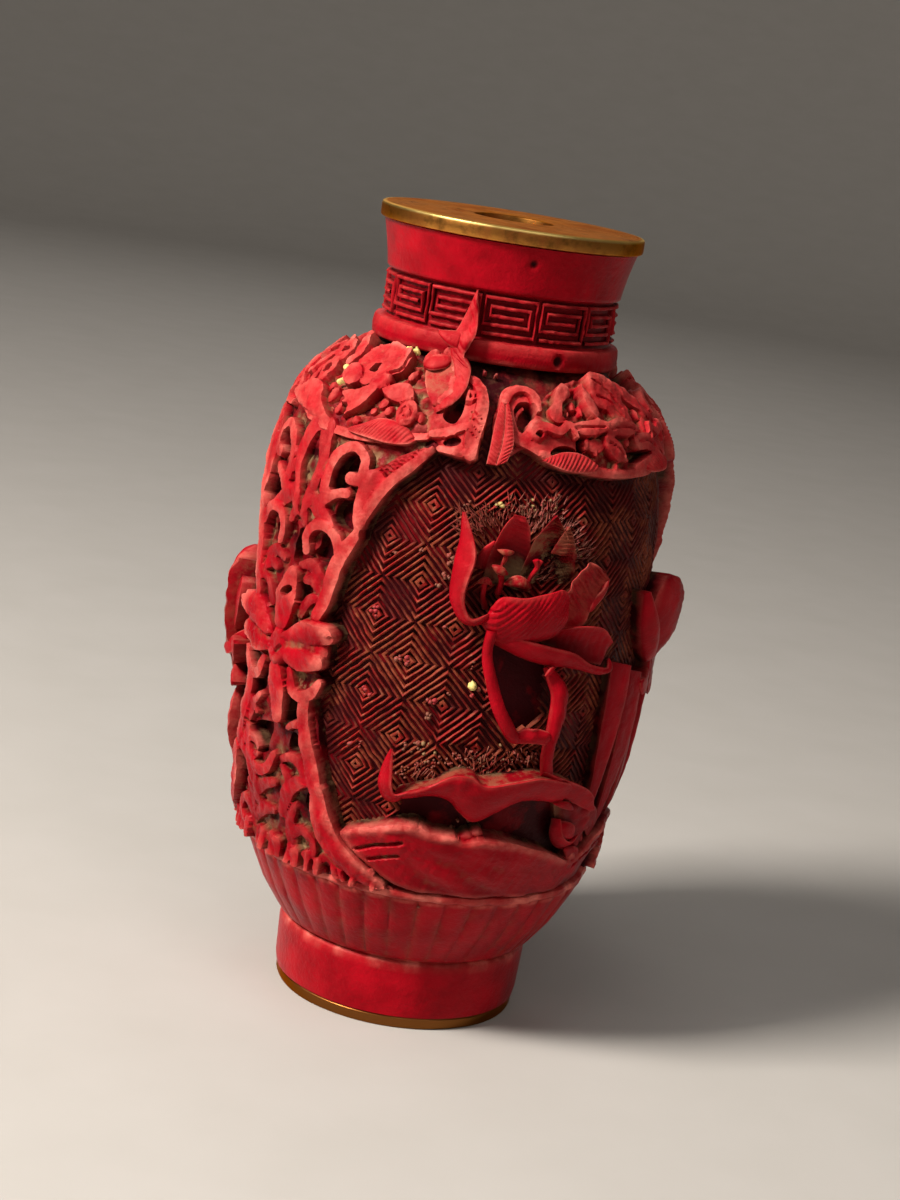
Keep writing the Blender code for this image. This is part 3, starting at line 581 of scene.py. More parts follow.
# The same lacquer, never polished here: brown dusty red on the worn line tops, darkened to maroon low in the
# cuts by painted shade.
ground_lacquer, tree, shader = new_material("chiselled dark lacquer ground")
where = add(tree, "NewGeometry").outputs["Position"]
lift = add(tree, "Attribute", {"attribute_name": "lift"}).outputs["Fac"]
cloud = add(tree, "TexNoise", {"Scale": 210.0, "Detail": 4.0, "Roughness": 0.6}, Vector=where)
grit = add(tree, "TexNoise", {"Scale": 1500.0, "Detail": 5.0, "Roughness": 0.7}, Vector=where)
height = add(tree, "MapRange", {"From Min": 0.12, "From Max": 0.4}, Value=lift)
clouded = add(tree, "MapRange", {"From Min": 0.42, "From Max": 0.58}, Value=cloud)
tops = add(tree, "Mix", {6: srgb("#80120F"), 7: srgb("#6E090D")}, i0=clouded)
dusted = add(tree, "MapRange", {"From Min": 0.52, "From Max": 0.7, "To Max": 0.6}, Value=grit)
dust = add(tree, "Mix", {7: srgb("#A07050")}, i0=dusted, i6=tops)
line_tone_with_groove_shade = add(tree, "Mix", {6: srgb("#3A0808")}, i0=height, i7=dust)
patch = add(tree, "MapRange", {"From Min": 0.48, "From Max": 0.58, "To Max": 0.9}, Value=cloud)
grains = add(tree, "MapRange", {"From Min": 0.35, "From Max": 0.55}, Value=grit)
lodged = add(tree, "Math", TIMES, i0=patch, i1=grains)
tone = add(tree, "Mix", {7: srgb("#7E3A24")}, i0=lodged, i6=line_tone_with_groove_shade)
bump = add(tree, "Bump", {"Strength": 0.5, "Distance": 0.00012}, Height=grit)
add(tree, shader, {"Roughness": 0.6, "IOR": 1.5, "Specular IOR Level": 0.3,
    "Specular Tint": (1.0, 0.42, 0.36, 1.0)}, Base_Color=tone, Normal=bump)

diaper("diaper_front", 0.0, 11)
diaper("diaper_back", HALF_ROUND, 27)


# ---- The openwork borders: two upright panels of pierced scrolls round a six-petalled flower, between the
# lotus panels. Carved from the full thickness of the lacquer, their cut walls square to the ground.

FLOOR = -0.45
PITCH = 0.17


def spline(p, i, t):
    """Places on the smooth curve through p: a part t of the way on from its points number i + 1."""
    a, b, c, d = (p[(i + k) % len(p)] for k in range(4))
    return 0.5 * (2 * b + (c - a) * t + (2 * a - 5 * b + 4 * c - d) * t ** 2
        + (3 * b - a - 3 * c + d) * t ** 3)


def path_through(points, count):
    """Places evenly spaced along a smooth curve through a few control points, flat or in space."""
    p = np.asarray(points, dtype=float)
    if len(p) == 2:
        return p[0] + (p[1] - p[0]) * np.linspace(0, 1, count)[:, None]
    p = np.concatenate([[2 * p[0] - p[1]], p, [2 * p[-1] - p[-2]]])
    place = np.linspace(0, len(p) - 3, count)
    i = np.minimum(place.astype(int), len(p) - 4)
    return spline(p, i, (place - i)[:, None])


def closed_path(points, count):
    """A smooth closed outline through a few corners."""
    p = np.asarray(points, dtype=float)
    place = np.linspace(0, len(p), count, endpoint=False)
    i = place.astype(int)
    return spline(p, i - 1, (place - i)[:, None])


def from_path(x, y, path, closed=False):
    """Distance to a path, how far along it (0 to 1), the side (+1 left of it), and the path's length."""
    best = np.full(x.shape, 1e9)
    along = np.zeros(x.shape)
    side = np.ones(x.shape)
    ends = np.roll(path, -1, 0) if closed else path[1:]
    starts = path if closed else path[:-1]
    lengths = np.hypot(*(ends - starts).T)
    total, run = lengths.sum(), 0.0
    for (ax, ay), (bx, by), length in zip(starts, ends, lengths):
        if length < 1e-9:
            continue
        ux, uy = (bx - ax) / length, (by - ay) / length
        t = np.clip((x - ax) * ux + (y - ay) * uy, 0, length)
        ex, ey = x - ax - ux * t, y - ay - uy * t
        near = ex * ex + ey * ey
        closer = near < best
        best[closer] = near[closer]
        along[closer] = (run + t[closer]) / total
        side[closer] = np.sign(ux * ey - uy * ex)[closer]
        run += length
    return np.sqrt(best), along, side, total


def cuts(phase):
    """The section of a row of fine cuts, one to each whole step of phase: 1 in a cut and 0 between."""
    return np.clip(1.5 - 4.5 * np.abs(phase % 1 - 0.5), 0, 1)


def spread(values, reach):
    """A grid of numbers blurred over reach points each way."""
    for axis in (0, 1):
        for _ in range(2):
            wide = np.concatenate([np.repeat(np.take(values, [0], axis), reach + 1, axis), values,
                np.repeat(np.take(values, [-1], axis), reach, axis)], axis)
            run = np.cumsum(wide, axis)
            n = values.shape[axis]
            high = np.take(run, np.arange(2 * reach + 1, 2 * reach + 1 + n), axis)
            low = np.take(run, np.arange(0, n), axis)
            values = (high - low) / (2 * reach + 1)
    return values


class Slab:
    """Lacquer over part of the wall: a fine grid, all of it cut away until shapes are raised on it. Shapes
    are drawn as (x, height) about a middle place round the wall; side -1 mirrors them."""

    def __init__(self, middle, left, right, low, high):
        self.draw_about(middle)
        self.x, self.y = np.meshgrid(np.arange(middle + left, middle + right + PITCH, PITCH),
            np.arange(up(low), up(high) + PITCH, PITCH))
        self.lift = np.full(self.x.shape, FLOOR)
        self.dx, self.dy = np.zeros(self.x.shape), np.zeros(self.x.shape)

    def draw_about(self, middle, side=1):
        self.middle, self.side = middle, side

    def placed(self, points):
        return [(self.middle + self.side * x, float(up(z))) for x, z in points]

    def near(self, path, reach):
        """The rows and columns of the grid within reach of a path, and their x and y."""
        low, high = path.min(0) - reach, path.max(0) + reach
        part = tuple(slice(max(int((low[k] - start) / PITCH), 0), max(int((high[k] - start) / PITCH) + 2, 0))
            for k, start in ((1, self.y[0, 0]), (0, self.x[0, 0])))
        return part, self.x[part], self.y[part]

    def within(self, outline):
        """The part of the grid near a closed outline, its x and y, and how far out of it they lie."""
        part, x, y = self.near(outline, 0.5)
        away, *_ = from_path(x, y, outline, closed=True)
        return part, x, y, np.where(inside_of(x, y, outline), -away, away)

    def draw_to_edge(self, part, distance, beside, inside):
        """Shifts the points beside an edge onto it, and puts back those inside it."""
        gy, gx = np.gradient(distance, PITCH)
        size = np.maximum(np.hypot(gx, gy), 0.5)
        for shift, slope in ((self.dx[part], gx), (self.dy[part], gy)):
            shift[inside] = 0.0
            shift[beside] = (-distance * slope / size ** 2)[beside]

    def raise_to(self, part, distance, height):
        """Raises the grid to height wherever distance, out from a shape's edge, is below zero."""
        lift = self.lift[part]
        take = (distance < 0.5 * PITCH) & (height > lift + 0.02)
        lift[take] = height[take]
        beside = take & (np.abs(distance) < 0.5 * PITCH)
        self.draw_to_edge(part, distance, beside, take & ~beside)

    def line(self, points, halves, top, crown=0.06, tilt=0.0, hatch=None, steps=26):
        """Raises a strip or leaf along a path. halves are half widths along it, top its height there;
        crown rounds it, tilt lifts its left side, hatch = (spacing, depth, slant) cuts lines across it."""
        path = path_through(self.placed(points), steps)
        halves, top = np.atleast_1d(halves), np.atleast_1d(top)
        part, x, y = self.near(path, halves.max() + 0.4)
        away, along, side, total = from_path(x, y, path)
        half = np.interp(along, np.linspace(0, 1, len(halves)), halves)
        q = np.clip(away / half, 0, 1)
        height = np.interp(along, np.linspace(0, 1, len(top)), top)
        height = height + crown * (1 - q ** 2) - crown + tilt * side * q
        if hatch:
            spacing, depth, slant = hatch
            cut = cuts((along * total + slant * side * away) / spacing)
            height = height - depth * cut * np.clip(3 - 3.2 * q, 0, 1)
        self.raise_to(part, away - half, height)

    def area(self, points, top, rounding=0.06, count=48, smooth=True):
        """Raises all inside a closed outline; top is a number or a function of the grid's x and y."""
        corners = self.placed(points)
        part, x, y, distance = self.within(closed_path(corners, count) if smooth else np.array(corners))
        height = (top(x, y) if callable(top) else top) - rounding * np.clip(1 + distance / 0.45, 0, 1) ** 2
        self.raise_to(part, distance, height)

    def sink(self, points, floor=FLOOR, count=32):
        """Cuts a hollow down to floor inside a closed outline."""
        part, x, y, distance = self.within(closed_path(self.placed(points), count))
        lift = self.lift[part]
        cut = (distance < -0.5 * PITCH) & (lift > floor)
        lift[cut] = floor
        self.draw_to_edge(part, distance, (np.abs(distance) <= 0.5 * PITCH) & (lift > floor), cut)

    def score(self, points, half, depth, steps=20):
        """Cuts a thin groove along a path into what is already raised."""
        path = path_through(self.placed(points), steps)
        part, x, y = self.near(path, half + 0.3)
        away, *_ = from_path(x, y, path)
        lift = self.lift[part]
        lift[lift > 0] -= (depth * np.clip(1.3 - away / half, 0, 1))[lift > 0]

    def finish(self, name, gloss, shake=0.06, seed=7, lighter=0.0):
        """Makes the closed mesh of the slab: its carved front, the walls of its cuts, and its hidden root.
        shake roughens the front; lighter is added to the lift kept at its points: above zero it lessens the
        painted shade of its low parts, below zero it deepens it."""
        solid = self.lift > FLOOR + 0.02
        rough = (shake * wobble(self.x, self.y, 2.6, seed)
            + 0.5 * shake * wobble(self.x, self.y, 1.0, seed + 1)
            + 0.35 * shake * wobble(self.x, self.y, 0.45, seed + 2))
        lift = np.where(solid, self.lift + rough, self.lift)
        cell = solid[:-1, :-1] | solid[1:, :-1] | solid[:-1, 1:] | solid[1:, 1:]
        mean = spread(np.maximum(lift, -0.1), 4)
        hollow = np.clip((mean - lift - 0.02) / 0.4, 0, 1)
        ridge = np.clip((lift - mean - 0.12) / 0.6, 0, 1)
        front = on_wall(self.x + self.dx, self.y + self.dy, lift)
        back = on_wall(self.x, self.y, np.full(lift.shape, FLOOR - 0.12))
        index = np.arange(lift.size).reshape(lift.shape)
        a, b, c, d = index[:-1, :-1], index[:-1, 1:], index[1:, 1:], index[1:, :-1]
        # each square of the front is cut along its more level diagonal
        cut_ac = np.abs(lift[:-1, :-1] - lift[1:, 1:]) <= np.abs(lift[:-1, 1:] - lift[1:, :-1])
        halves = (((a, b, c), cut_ac), ((a, c, d), cut_ac), ((a, b, d), ~cut_ac), ((b, c, d), ~cut_ac))
        faces = [np.stack([v[cell & where] for v in corners], -1) for corners, where in halves]
        faces += [np.stack([v[cell] for v in corners], -1) + lift.size for corners in ((a, c, b), (a, d, c))]
        padded = np.pad(cell, 1)
        for (i, j), (p, q) in (((0, 1), (a, b)), ((2, 1), (c, d)), ((1, 0), (d, a)), ((1, 2), (b, c))):
            open_side = cell & ~padded[i:i + cell.shape[0], j:j + cell.shape[1]]
            u, v = p[open_side], q[open_side]
            faces += [np.stack([v, u, u + lift.size], -1), np.stack([v, u + lift.size, v + lift.size], -1)]
        faces = np.concatenate(faces)
        used, faces = np.unique(faces, return_inverse=True)
        points = np.concatenate([front.reshape(-1, 3), back.reshape(-1, 3)])[used]

        def both(values, behind):
            return np.concatenate([values.ravel(), np.full(lift.size, behind)])[used]

        carved_from_coat(new_piece(name, points, faces.reshape(-1, 3), cinnabar, 32.0,
            lift=both(lift + lighter, FLOOR), hollow=both(hollow, 0.0), ridge=both(ridge, 0.0),
            gloss=both(gloss + 0 * lift, 0.5)))


LEFT_HOLES = [
    [(-5.9, 50.9), (-4.7, 51.2), (-4.3, 50.0), (-5.0, 48.9), (-6.5, 49.0), (-6.3, 49.9)],
    [(-3.5, 43.9), (-2.2, 44.3), (-1.8, 43.6), (-2.6, 42.9), (-3.6, 42.5), (-4.2, 43.0)],
    [(-5.9, 48.0), (-4.4, 47.9), (-3.6, 46.6), (-4.0, 45.2), (-5.8, 44.6), (-7.0, 45.8), (-6.9, 47.3)],
    [(-3.5, 24.0), (-3.3, 25.6), (-1.5, 26.3), (-0.2, 26.4), (-0.3, 25.0), (-0.8, 23.7), (-2.0, 23.3)],
    [(-5.4, 31.5), (-4.4, 28.4), (-3.6, 27.6), (-1.6, 29.9), (-2.0, 31.5)],
    [(-5.8, 21.8), (-5.0, 20.2), (-5.6, 18.6), (-6.3, 19.5)],
]
RIGHT_HOLES = [
    [(4.2, 51.1), (5.1, 51.3), (5.8, 51.1), (6.1, 50.5), (5.9, 50.0), (5.1, 50.0), (4.8, 49.5), (4.9, 48.8),
        (5.2, 48.4), (4.4, 48.1), (3.5, 47.8), (3.1, 48.8), (3.4, 50.0)],
    [(4.3, 47.1), (4.9, 47.5), (5.7, 47.7), (6.1, 48.8), (6.5, 48.0), (6.7, 46.5), (6.9, 45.5), (6.2, 45.0),
        (5.2, 45.1), (4.4, 45.5), (4.0, 46.3)],
    [(3.0, 44.0), (3.5, 44.5), (4.1, 44.4), (4.6, 43.7), (4.8, 42.9), (4.5, 42.2), (3.8, 42.0), (2.9, 42.0),
        (2.4, 42.5), (2.9, 43.1)],
    [(0.2, 43.9), (1.2, 44.0), (1.5, 43.0), (2.2, 42.0), (1.7, 41.2), (0.5, 40.9), (-0.4, 41.4)],
    [(2.4, 25.6), (2.6, 26.5), (3.5, 26.4), (4.0, 25.7), (3.5, 25.1), (2.6, 24.9)],
    [(1.4, 30.2), (3.2, 29.6), (3.3, 28.6), (2.6, 27.5), (1.6, 27.4), (1.2, 28.6)],
    [(4.6, 20.7), (5.3, 22.0), (5.8, 21.2), (5.7, 20.2), (5.1, 20.0)],
    [(1.1, 39.3), (2.3, 39.8), (3.0, 39.0), (2.6, 37.6), (1.6, 37.4)],
]


def scroll_border(name, middle, seed):
    """One border, its drawing centred at that place round the wall."""
    slab = Slab(middle, -14.4, 14.4, 14.4, 54.9)
    outline = [(half, z) for z, half in BORDER_STATIONS]
    outline += [(-half, z) for half, z in reversed(outline)]
    slab.area(outline, lambda x, y: 0.9 + 0.14 * wobble(x, y, 1.7, seed + 5), count=190)
    for hole in RIGHT_HOLES + LEFT_HOLES:
        slab.sink(hole)
    for side in (1, -1):
        slab.draw_about(middle, side)

        def line(points, halves, top, **ways):
            slab.line(points, halves, np.array(top) + (0.06 if side < 0 else 0.0), **ways)

        # outer rail, from the collar down past the flower and out to the foot of the panel
        line([(12.0, 52.9), (10.6, 51.4), (9.1, 49.9), (8.2, 48.4), (7.5, 46.8), (7.0, 45.3)],
            [0.3, 0.42, 0.45, 0.4, 0.3],
            [1.5, 1.75, 1.85, 1.8], tilt=-0.1)
        line([(6.9, 44.9), (6.2, 43.6), (5.6, 42.2), (5.2, 40.4), (4.9, 38.8), (4.3, 37.3)],
            [0.45, 0.62, 0.66, 0.6, 0.5],
            [1.85, 1.8, 1.7], crown=0.07)
        line([(4.1, 30.1), (4.2, 28.4), (4.9, 26.2), (5.8, 24.0), (6.4, 22.4)], [0.55, 0.62, 0.7, 0.75, 0.7],
            [1.6, 1.7, 1.75], crown=0.07)
        line([(6.5, 22.5), (7.1, 20.2), (8.3, 18.2), (10.6, 16.5), (13.2, 15.2)],
            [0.75, 1.1, 1.15, 1.05, 0.55],
            [1.9, 2.0, 1.7], crown=0.12, tilt=0.1)
        # hooked scroll over the top hollow, ending in a knob
        line([(2.7, 47.8), (2.8, 49.6), (3.6, 51.2), (5.0, 51.85), (6.3, 51.2), (6.5, 50.2)],
            [0.5, 0.5, 0.45, 0.42, 0.45],
            [1.6, 1.75, 1.75])
        line([(6.6, 50.0), (6.0, 49.4), (5.3, 49.4)], [0.4, 0.5, 0.55], [1.75, 1.7], crown=0.09)
        # branch between the two hollows
        line([(2.2, 46.6), (3.4, 47.5), (4.5, 48.0), (5.2, 48.15)], [0.62, 0.55, 0.38, 0.42], [1.6, 1.6],
            crown=0.07)
        line([(1.0, 47.6), (2.0, 46.4), (3.4, 45.6), (4.3, 45.0)], [0.5, 0.75, 0.7, 0.45], [1.45, 1.55],
            crown=0.09)
        # second hooked scroll, run into the rail
        line([(1.9, 42.5), (1.7, 43.8), (2.5, 44.8), (3.8, 45.0), (5.0, 44.4), (5.7, 43.3)],
            [0.4, 0.45, 0.45, 0.45, 0.6],
            [1.55, 1.7, 1.75])
        # hatched leaves along the rail near the collar
        line([(5.9, 49.4), (7.6, 50.0), (9.2, 50.9), (11.4, 52.7)], [0.35, 0.75, 0.85, 0.3], [1.35, 1.6],
            hatch=(0.42, 0.16, 0.6))
        line([(7.6, 49.5), (7.2, 48.0), (7.0, 46.5), (7.1, 45.1)], [1.15, 1.0, 0.6, 0.12], [1.75, 1.85],
            crown=0.05)
        # inner stem and its leaves
        line([(0.9, 52.6), (1.6, 50.0), (1.3, 48.2), (0.6, 46.4), (0.9, 44.6)],
            [0.9, 0.75, 0.55, 0.45, 0.35],
            [1.5, 1.55, 1.4], crown=0.09)
        line([(0.4, 45.2), (1.1, 46.6), (2.6, 47.0)], [0.3, 0.5, 0.3], [1.5, 1.6], crown=0.09)
        line([(1.2, 41.0), (2.3, 41.4), (3.2, 41.2), (4.2, 40.6)], [0.3, 0.5, 0.5, 0.3], [1.25, 1.4],
            crown=0.09)
        line([(2.2, 40.0), (3.3, 40.2), (4.3, 39.4)], [0.35, 0.65, 0.4], [1.3, 1.5], crown=0.09)
        line([(2.1, 36.9), (3.0, 38.4), (4.4, 38.9)], [0.4, 0.5, 0.3], [1.3, 1.5], crown=0.09)
        # lower scrolls
        line([(3.7, 27.6), (2.9, 27.3), (2.4, 26.9)], [0.4, 0.32, 0.25], [1.5, 1.4])
        line([(1.8, 23.9), (3.0, 24.4), (4.2, 24.2), (5.0, 23.2)], [0.3, 0.42, 0.5, 0.4], [1.4, 1.6])
        line([(2.0, 19.0), (3.0, 21.4), (4.5, 22.6), (6.1, 22.9)], [0.5, 0.75, 0.65, 0.25], [1.35, 1.7],
            crown=0.09)
        line([(1.9, 23.2), (2.8, 22.6), (3.0, 21.8)], [0.3, 0.4, 0.3], [1.4, 1.5])
        line([(3.6, 17.6), (4.8, 18.2), (6.0, 17.6), (6.2, 16.6), (5.4, 16.2)], [0.55, 0.5, 0.45, 0.4, 0.45],
            [1.4, 1.6], crown=0.07)
        line([(3.0, 15.2), (3.4, 16.6), (3.2, 18.6), (3.8, 20.2)], [0.6, 0.75, 0.6, 0.3], [1.2, 1.4],
            crown=0.09)
        line([(7.2, 15.1), (6.8, 15.8), (7.6, 16.5), (8.6, 16.1)], [0.4, 0.4, 0.4, 0.3], [1.2, 1.4],
            crown=0.07)
    slab.draw_about(middle)
    for x0, z0, x1, z1 in ((-3.0, 15.3, 0.2, 15.9), (-2.7, 16.9, 0.8, 18.8), (-2.6, 19.1, 0.9, 21.4)):
        slab.line([(x0, z0), (0.5 * (x0 + x1) - 0.1, 0.5 * (z0 + z1) + 0.5), (x1, z1)], [0.35, 0.75, 0.4],
            [1.3, 1.5], crown=0.12)
    slab.line([(-3.9, 25.0), (-3.4, 23.0), (-1.9, 21.9), (-0.1, 22.5), (0.9, 24.0)],
        [0.45, 0.5, 0.55, 0.5, 0.35], [1.6, 1.7, 1.6])
    slab.line([(-3.8, 26.0), (-3.0, 27.4), (-1.8, 28.6)], [0.4, 0.45, 0.3], [1.5, 1.6])
    # the flower: six petals, the upper one pierced, the side pairs folded over themselves
    slab.line([(0.7, 40.1), (0.5, 38.2), (0.3, 36.0)], [0.7, 1.4, 0.9], [1.7, 1.95, 1.8], crown=0.16)
    slab.sink([(-0.1, 38.6), (0.8, 39.2), (1.3, 38.9), (0.7, 38.2), (0.0, 38.1)], floor=0.7)
    slab.line([(0.4, 31.4), (0.9, 29.5), (1.1, 27.7)], [0.9, 1.05, 0.7], [1.95, 1.8], crown=0.16)
    for side in (1, -1):
        slab.draw_about(middle, side)
        slab.area([(1.2, 34.4), (1.9, 35.8), (3.0, 36.7), (4.6, 37.0), (6.1, 36.8), (5.8, 35.6), (5.9, 34.3),
            (5.3, 33.0), (3.8, 32.2), (2.4, 32.6), (1.3, 33.4)], lambda x, y: 1.7 + 0.06 * (y - up(34.5)),
            rounding=0.3, count=90)
        slab.line([(1.4, 34.7), (3.6, 35.7), (5.9, 36.1)], [0.5, 1.05, 0.75], [1.9, 2.35], crown=0.16,
            tilt=0.2)
        slab.line([(1.0, 33.4), (3.0, 33.2), (5.2, 33.6)], [0.5, 1.0, 0.7], [1.85, 2.1], crown=0.16,
            tilt=0.05, hatch=(0.5, 0.1, 0.0) if side < 0 else None)
        slab.line([(2.0, 31.9), (2.5, 30.5), (3.6, 30.1), (4.8, 30.7), (5.5, 31.8)],
            [0.35, 0.45, 0.5, 0.5, 0.35], [1.5, 1.7, 1.6])
    slab.draw_about(middle)
    slab.area([(-0.9, 34.2), (0.3, 35.3), (1.5, 34.2), (1.4, 32.7), (0.4, 31.9), (-0.8, 32.6)], 2.0,
        rounding=0.4)
    slab.score([(-0.9, 33.6), (0.1, 33.0), (1.0, 33.8)], 0.2, 0.3)
    # the ragged foot, hanging over the ledge
    random = np.random.default_rng(seed)
    for x in np.arange(-12.6, 13.0, 1.3):
        size, x = random.uniform(0.3, 0.7), x + random.uniform(-0.4, 0.4)
        slab.line([(x, 15.8 + random.uniform(0, 0.7)), (x + random.uniform(-0.5, 0.5), 14.7)],
            [size, 0.7 * size],
            [random.uniform(1.4, 1.8), random.uniform(1.6, 2.1)], crown=0.15)
    slab.finish(name, np.interp(slab.y, [up(38), up(47)], [0.95, 0.5]), shake=0.1, seed=seed, lighter=-0.15)


scroll_border("border_left", BORDER_TURNS[0], 31)
scroll_border("border_right", BORDER_TURNS[1], 47)


# ---- The collar's four lappets: thick pierced lobes of scrolls, leaves and petals that hang from the neck
# over the shoulder, standing clear of the ground below. Narrow straight slits part them. Two leaves stand
# up over the neck from the slits.


def sheet(edge_a, edge_b, thick=0.42, belly=0.0, rows=28, columns=9, hatch=None, seed=1, turn=0.0, drop=0.0,
        gloss=0.75, frill=0.0, root=None, wall=None, dust=0.0):
    """A petal or leaf between two edges of (x, height, lift), base to tip; belly bows it out, hatch =
    (spacing, depth, slant) cuts fine lines from edge to edge. With a root it is solid down to the ground,
    that share of its own width there. wall(x, z, lift) places it elsewhere than on the body; dust lies on
    it and the same share darkens it with painted shade. Gives points, faces and the numbers kept there."""

    def edge(points):
        p = np.array([(x, z if wall else up(z - drop), lift) for x, z, lift in points], dtype=float)
        return path_through(p, rows)

    a, b = edge(edge_a), edge(edge_b)
    v = np.linspace(0, 1, columns)[None, :, None]
    mid = a[:, None, :] * (1 - v) + b[:, None, :] * v
    u = np.linspace(0, 1, rows)[:, None]
    w = v[..., 0]
    if frill:
        mid[..., 2] += frill * wobble(mid[..., 0], mid[..., 1], 1.6, seed) * w
    along = np.gradient(mid, axis=0)
    across = np.gradient(mid, axis=1)
    normal = np.cross(across, along)
    size = np.linalg.norm(normal, axis=-1, keepdims=True)
    normal = normal / np.maximum(size, 1e-6)
    flip = np.sign(np.median(normal[..., 2])) or 1.0
    normal = normal * flip
    bow = belly * 4 * w * (1 - w) * np.sin(np.pi * np.clip(u * 0.92 + 0.04, 0, 1)) ** 0.5
    mid = mid + normal * bow[..., None]
    round_off = 1 - 0.72 * np.clip(np.abs(2 * w - 1) * 1.25 - 0.25, 0, 1) ** 3
    round_off = round_off * (1 - 0.7 * np.clip(np.abs(2 * u - 1) * 4 - 3, 0, 1) ** 2)
    half = 0.5 * thick * round_off
    face = half.copy()
    if hatch:
        spacing, depth, slant = hatch
        length = np.cumsum(np.r_[0, np.linalg.norm(np.diff(0.5 * (a + b), axis=0), axis=1)])[:, None]
        width = np.linalg.norm(b - a, axis=1)[:, None]
        phase = (length + slant * w * width) / spacing
        fade = np.clip(6 * w, 0, 1) * np.clip(6 * (1 - w), 0, 1) * np.clip(0.25 + 1.3 * w, 0, 1)
        face -= depth * cuts(phase) * fade
    face += 0.03 * wobble(mid[..., 0], mid[..., 1], 1.5, seed)
    front = mid + normal * face[..., None]
    back = mid - normal * half[..., None]
    if root is not None:
        middle = 0.5 * (a + b)[:, None, :]
        back = middle + (mid - middle) * root
        back[..., 2] = -0.4
    shift = turn * math.pi * WALL_RADIUS / 180
    count = rows * columns
    points = []
    for layer in (front, back):
        layer = layer.reshape(-1, 3)
        points.append((wall or on_wall)(layer[:, 0] + shift, layer[:, 1], np.maximum(layer[:, 2], -0.8)))
    quads = grid_faces(rows, columns)
    facing_out = quads[:, ::-1] if flip > 0 else quads
    rim = np.concatenate([np.arange(columns), np.arange(1, rows) * columns + columns - 1,
        (rows - 1) * columns + np.arange(columns - 2, -1, -1), np.arange(rows - 2, 0, -1) * columns])
    after = np.roll(rim, -1)
    side = np.stack([rim, after, after + count, rim + count], -1)
    if flip < 0:
        side = side[:, ::-1]
    faces = np.concatenate([facing_out, facing_out[:, ::-1] + count, side])
    # The kept lift sets the painted shade; pieces laid on the collar get 2 more, to keep them out of it.
    lift = np.concatenate([front[..., 2].ravel(), back[..., 2].ravel()]) + (2.0 if wall else 0.0)
    # A lighter band along both long edges: wear and a painted highlight on the rim.
    border = (1.15 - gloss) * np.clip(np.abs(2 * w - 1) * 6 - 5, 0, 1) * np.ones_like(u)
    ridge = np.concatenate([border.ravel(), np.zeros(count)])
    # hollow paints shade on the low parts near the ground, and dust adds both dust and painted shade.
    return {"points": np.concatenate(points), "faces": faces, "lift": lift, "ridge": ridge,
        "hollow": np.clip(0.9 - lift + dust, dust, 1), "gloss": np.full(2 * count, gloss)}


def leaf(points, width, cup=0.0, blunt=0.15, **ways):
    """A leaf or petal about a middle line of (x, height, lift); cup raises both its edges."""
    count = 9
    middle = path_through(points, count)
    ahead = np.gradient(middle, axis=0)
    length = np.maximum(np.hypot(ahead[:, 0], ahead[:, 1]), 1e-6)
    nx, nz = -ahead[:, 1] / length, ahead[:, 0] / length
    t = np.linspace(0, 1, count)
    swell = blunt + (1 - blunt) * np.sin(0.5 * np.pi * 2 * np.minimum(t, 1 - t))
    half = 0.5 * width * swell * np.clip(9 * (1.02 - t), 0, 1) ** 0.6
    out = np.stack([nx * half, nz * half, 0 * half], -1)
    raised = middle + (0.0, 0.0, cup)
    return sheet(raised - out, raised + out, belly=ways.pop("belly", 0.0) - cup, **ways)


def rod(points, radii, turn=0.0, gloss=0.8, flat=1.0, seed=2):
    """A round stalk through places (x, height, lift); flat squeezes it towards the wall."""
    steps, sides = 30, 12
    p = path_through([(x, up(z), lift) for x, z, lift in points], steps)
    r = np.interp(np.linspace(0, 1, steps), np.linspace(0, 1, len(radii)), radii)
    ahead = np.gradient(p, axis=0)
    ahead /= np.linalg.norm(ahead, axis=1, keepdims=True)
    beside = np.cross(np.array([0, 0, 1.0]), ahead)
    beside /= np.maximum(np.linalg.norm(beside, axis=1, keepdims=True), 1e-6)
    over = np.cross(ahead, beside)
    a = np.linspace(0, 2 * math.pi, sides, endpoint=False)
    c, s = np.cos(a), np.sin(a)
    shape = 1 + 0.07 * wobble(p[:, None, 0] + 3 * c[None, :], p[:, None, 1] + 3 * s[None, :], 3.0, seed)
    ring = beside[:, None, :] * c[None, :, None] + flat * over[:, None, :] * s[None, :, None]
    body = p[:, None, :] + ring * (r[:, None] * shape)[..., None]
    ends = np.stack([p[0], p[-1]])
    flat_points = np.concatenate([body.reshape(-1, 3), ends])
    shift = turn * math.pi * WALL_RADIUS / 180
    count = steps * sides
    caps = []
    for i in range(sides):
        j = (i + 1) % sides
        caps += [(count, j, i), (count + 1, count - sides + i, count - sides + j)]
    lift = flat_points[:, 2]
    # hollow paints shade on the low parts of the stalk.
    return {"points": on_wall(flat_points[:, 0] + shift, flat_points[:, 1], np.maximum(lift, -0.6)),
        "faces": grid_faces(steps, sides, round_columns=True), "caps": np.array(caps), "lift": lift,
        "ridge": np.zeros(len(lift)), "hollow": np.clip(0.9 - lift, 0, 1),
        "gloss": np.full(len(lift), gloss)}


def gather(name, parts):
    """One piece from many sheets and rods."""
    faces, start = [], 0
    for part in parts:
        quads = part["faces"]
        faces.append(np.concatenate([quads[:, [0, 1, 2]], quads[:, [0, 2, 3]]]) + start)
        if "caps" in part:
            faces.append(part["caps"] + start)
        start += len(part["points"])
    values = {key: np.concatenate([part[key] for part in parts])
        for key in ("lift", "ridge", "hollow", "gloss")}
    points = np.concatenate([part["points"] for part in parts])
    carved_from_coat(new_piece(name, points, np.concatenate(faces), cinnabar, 45.0, **values))


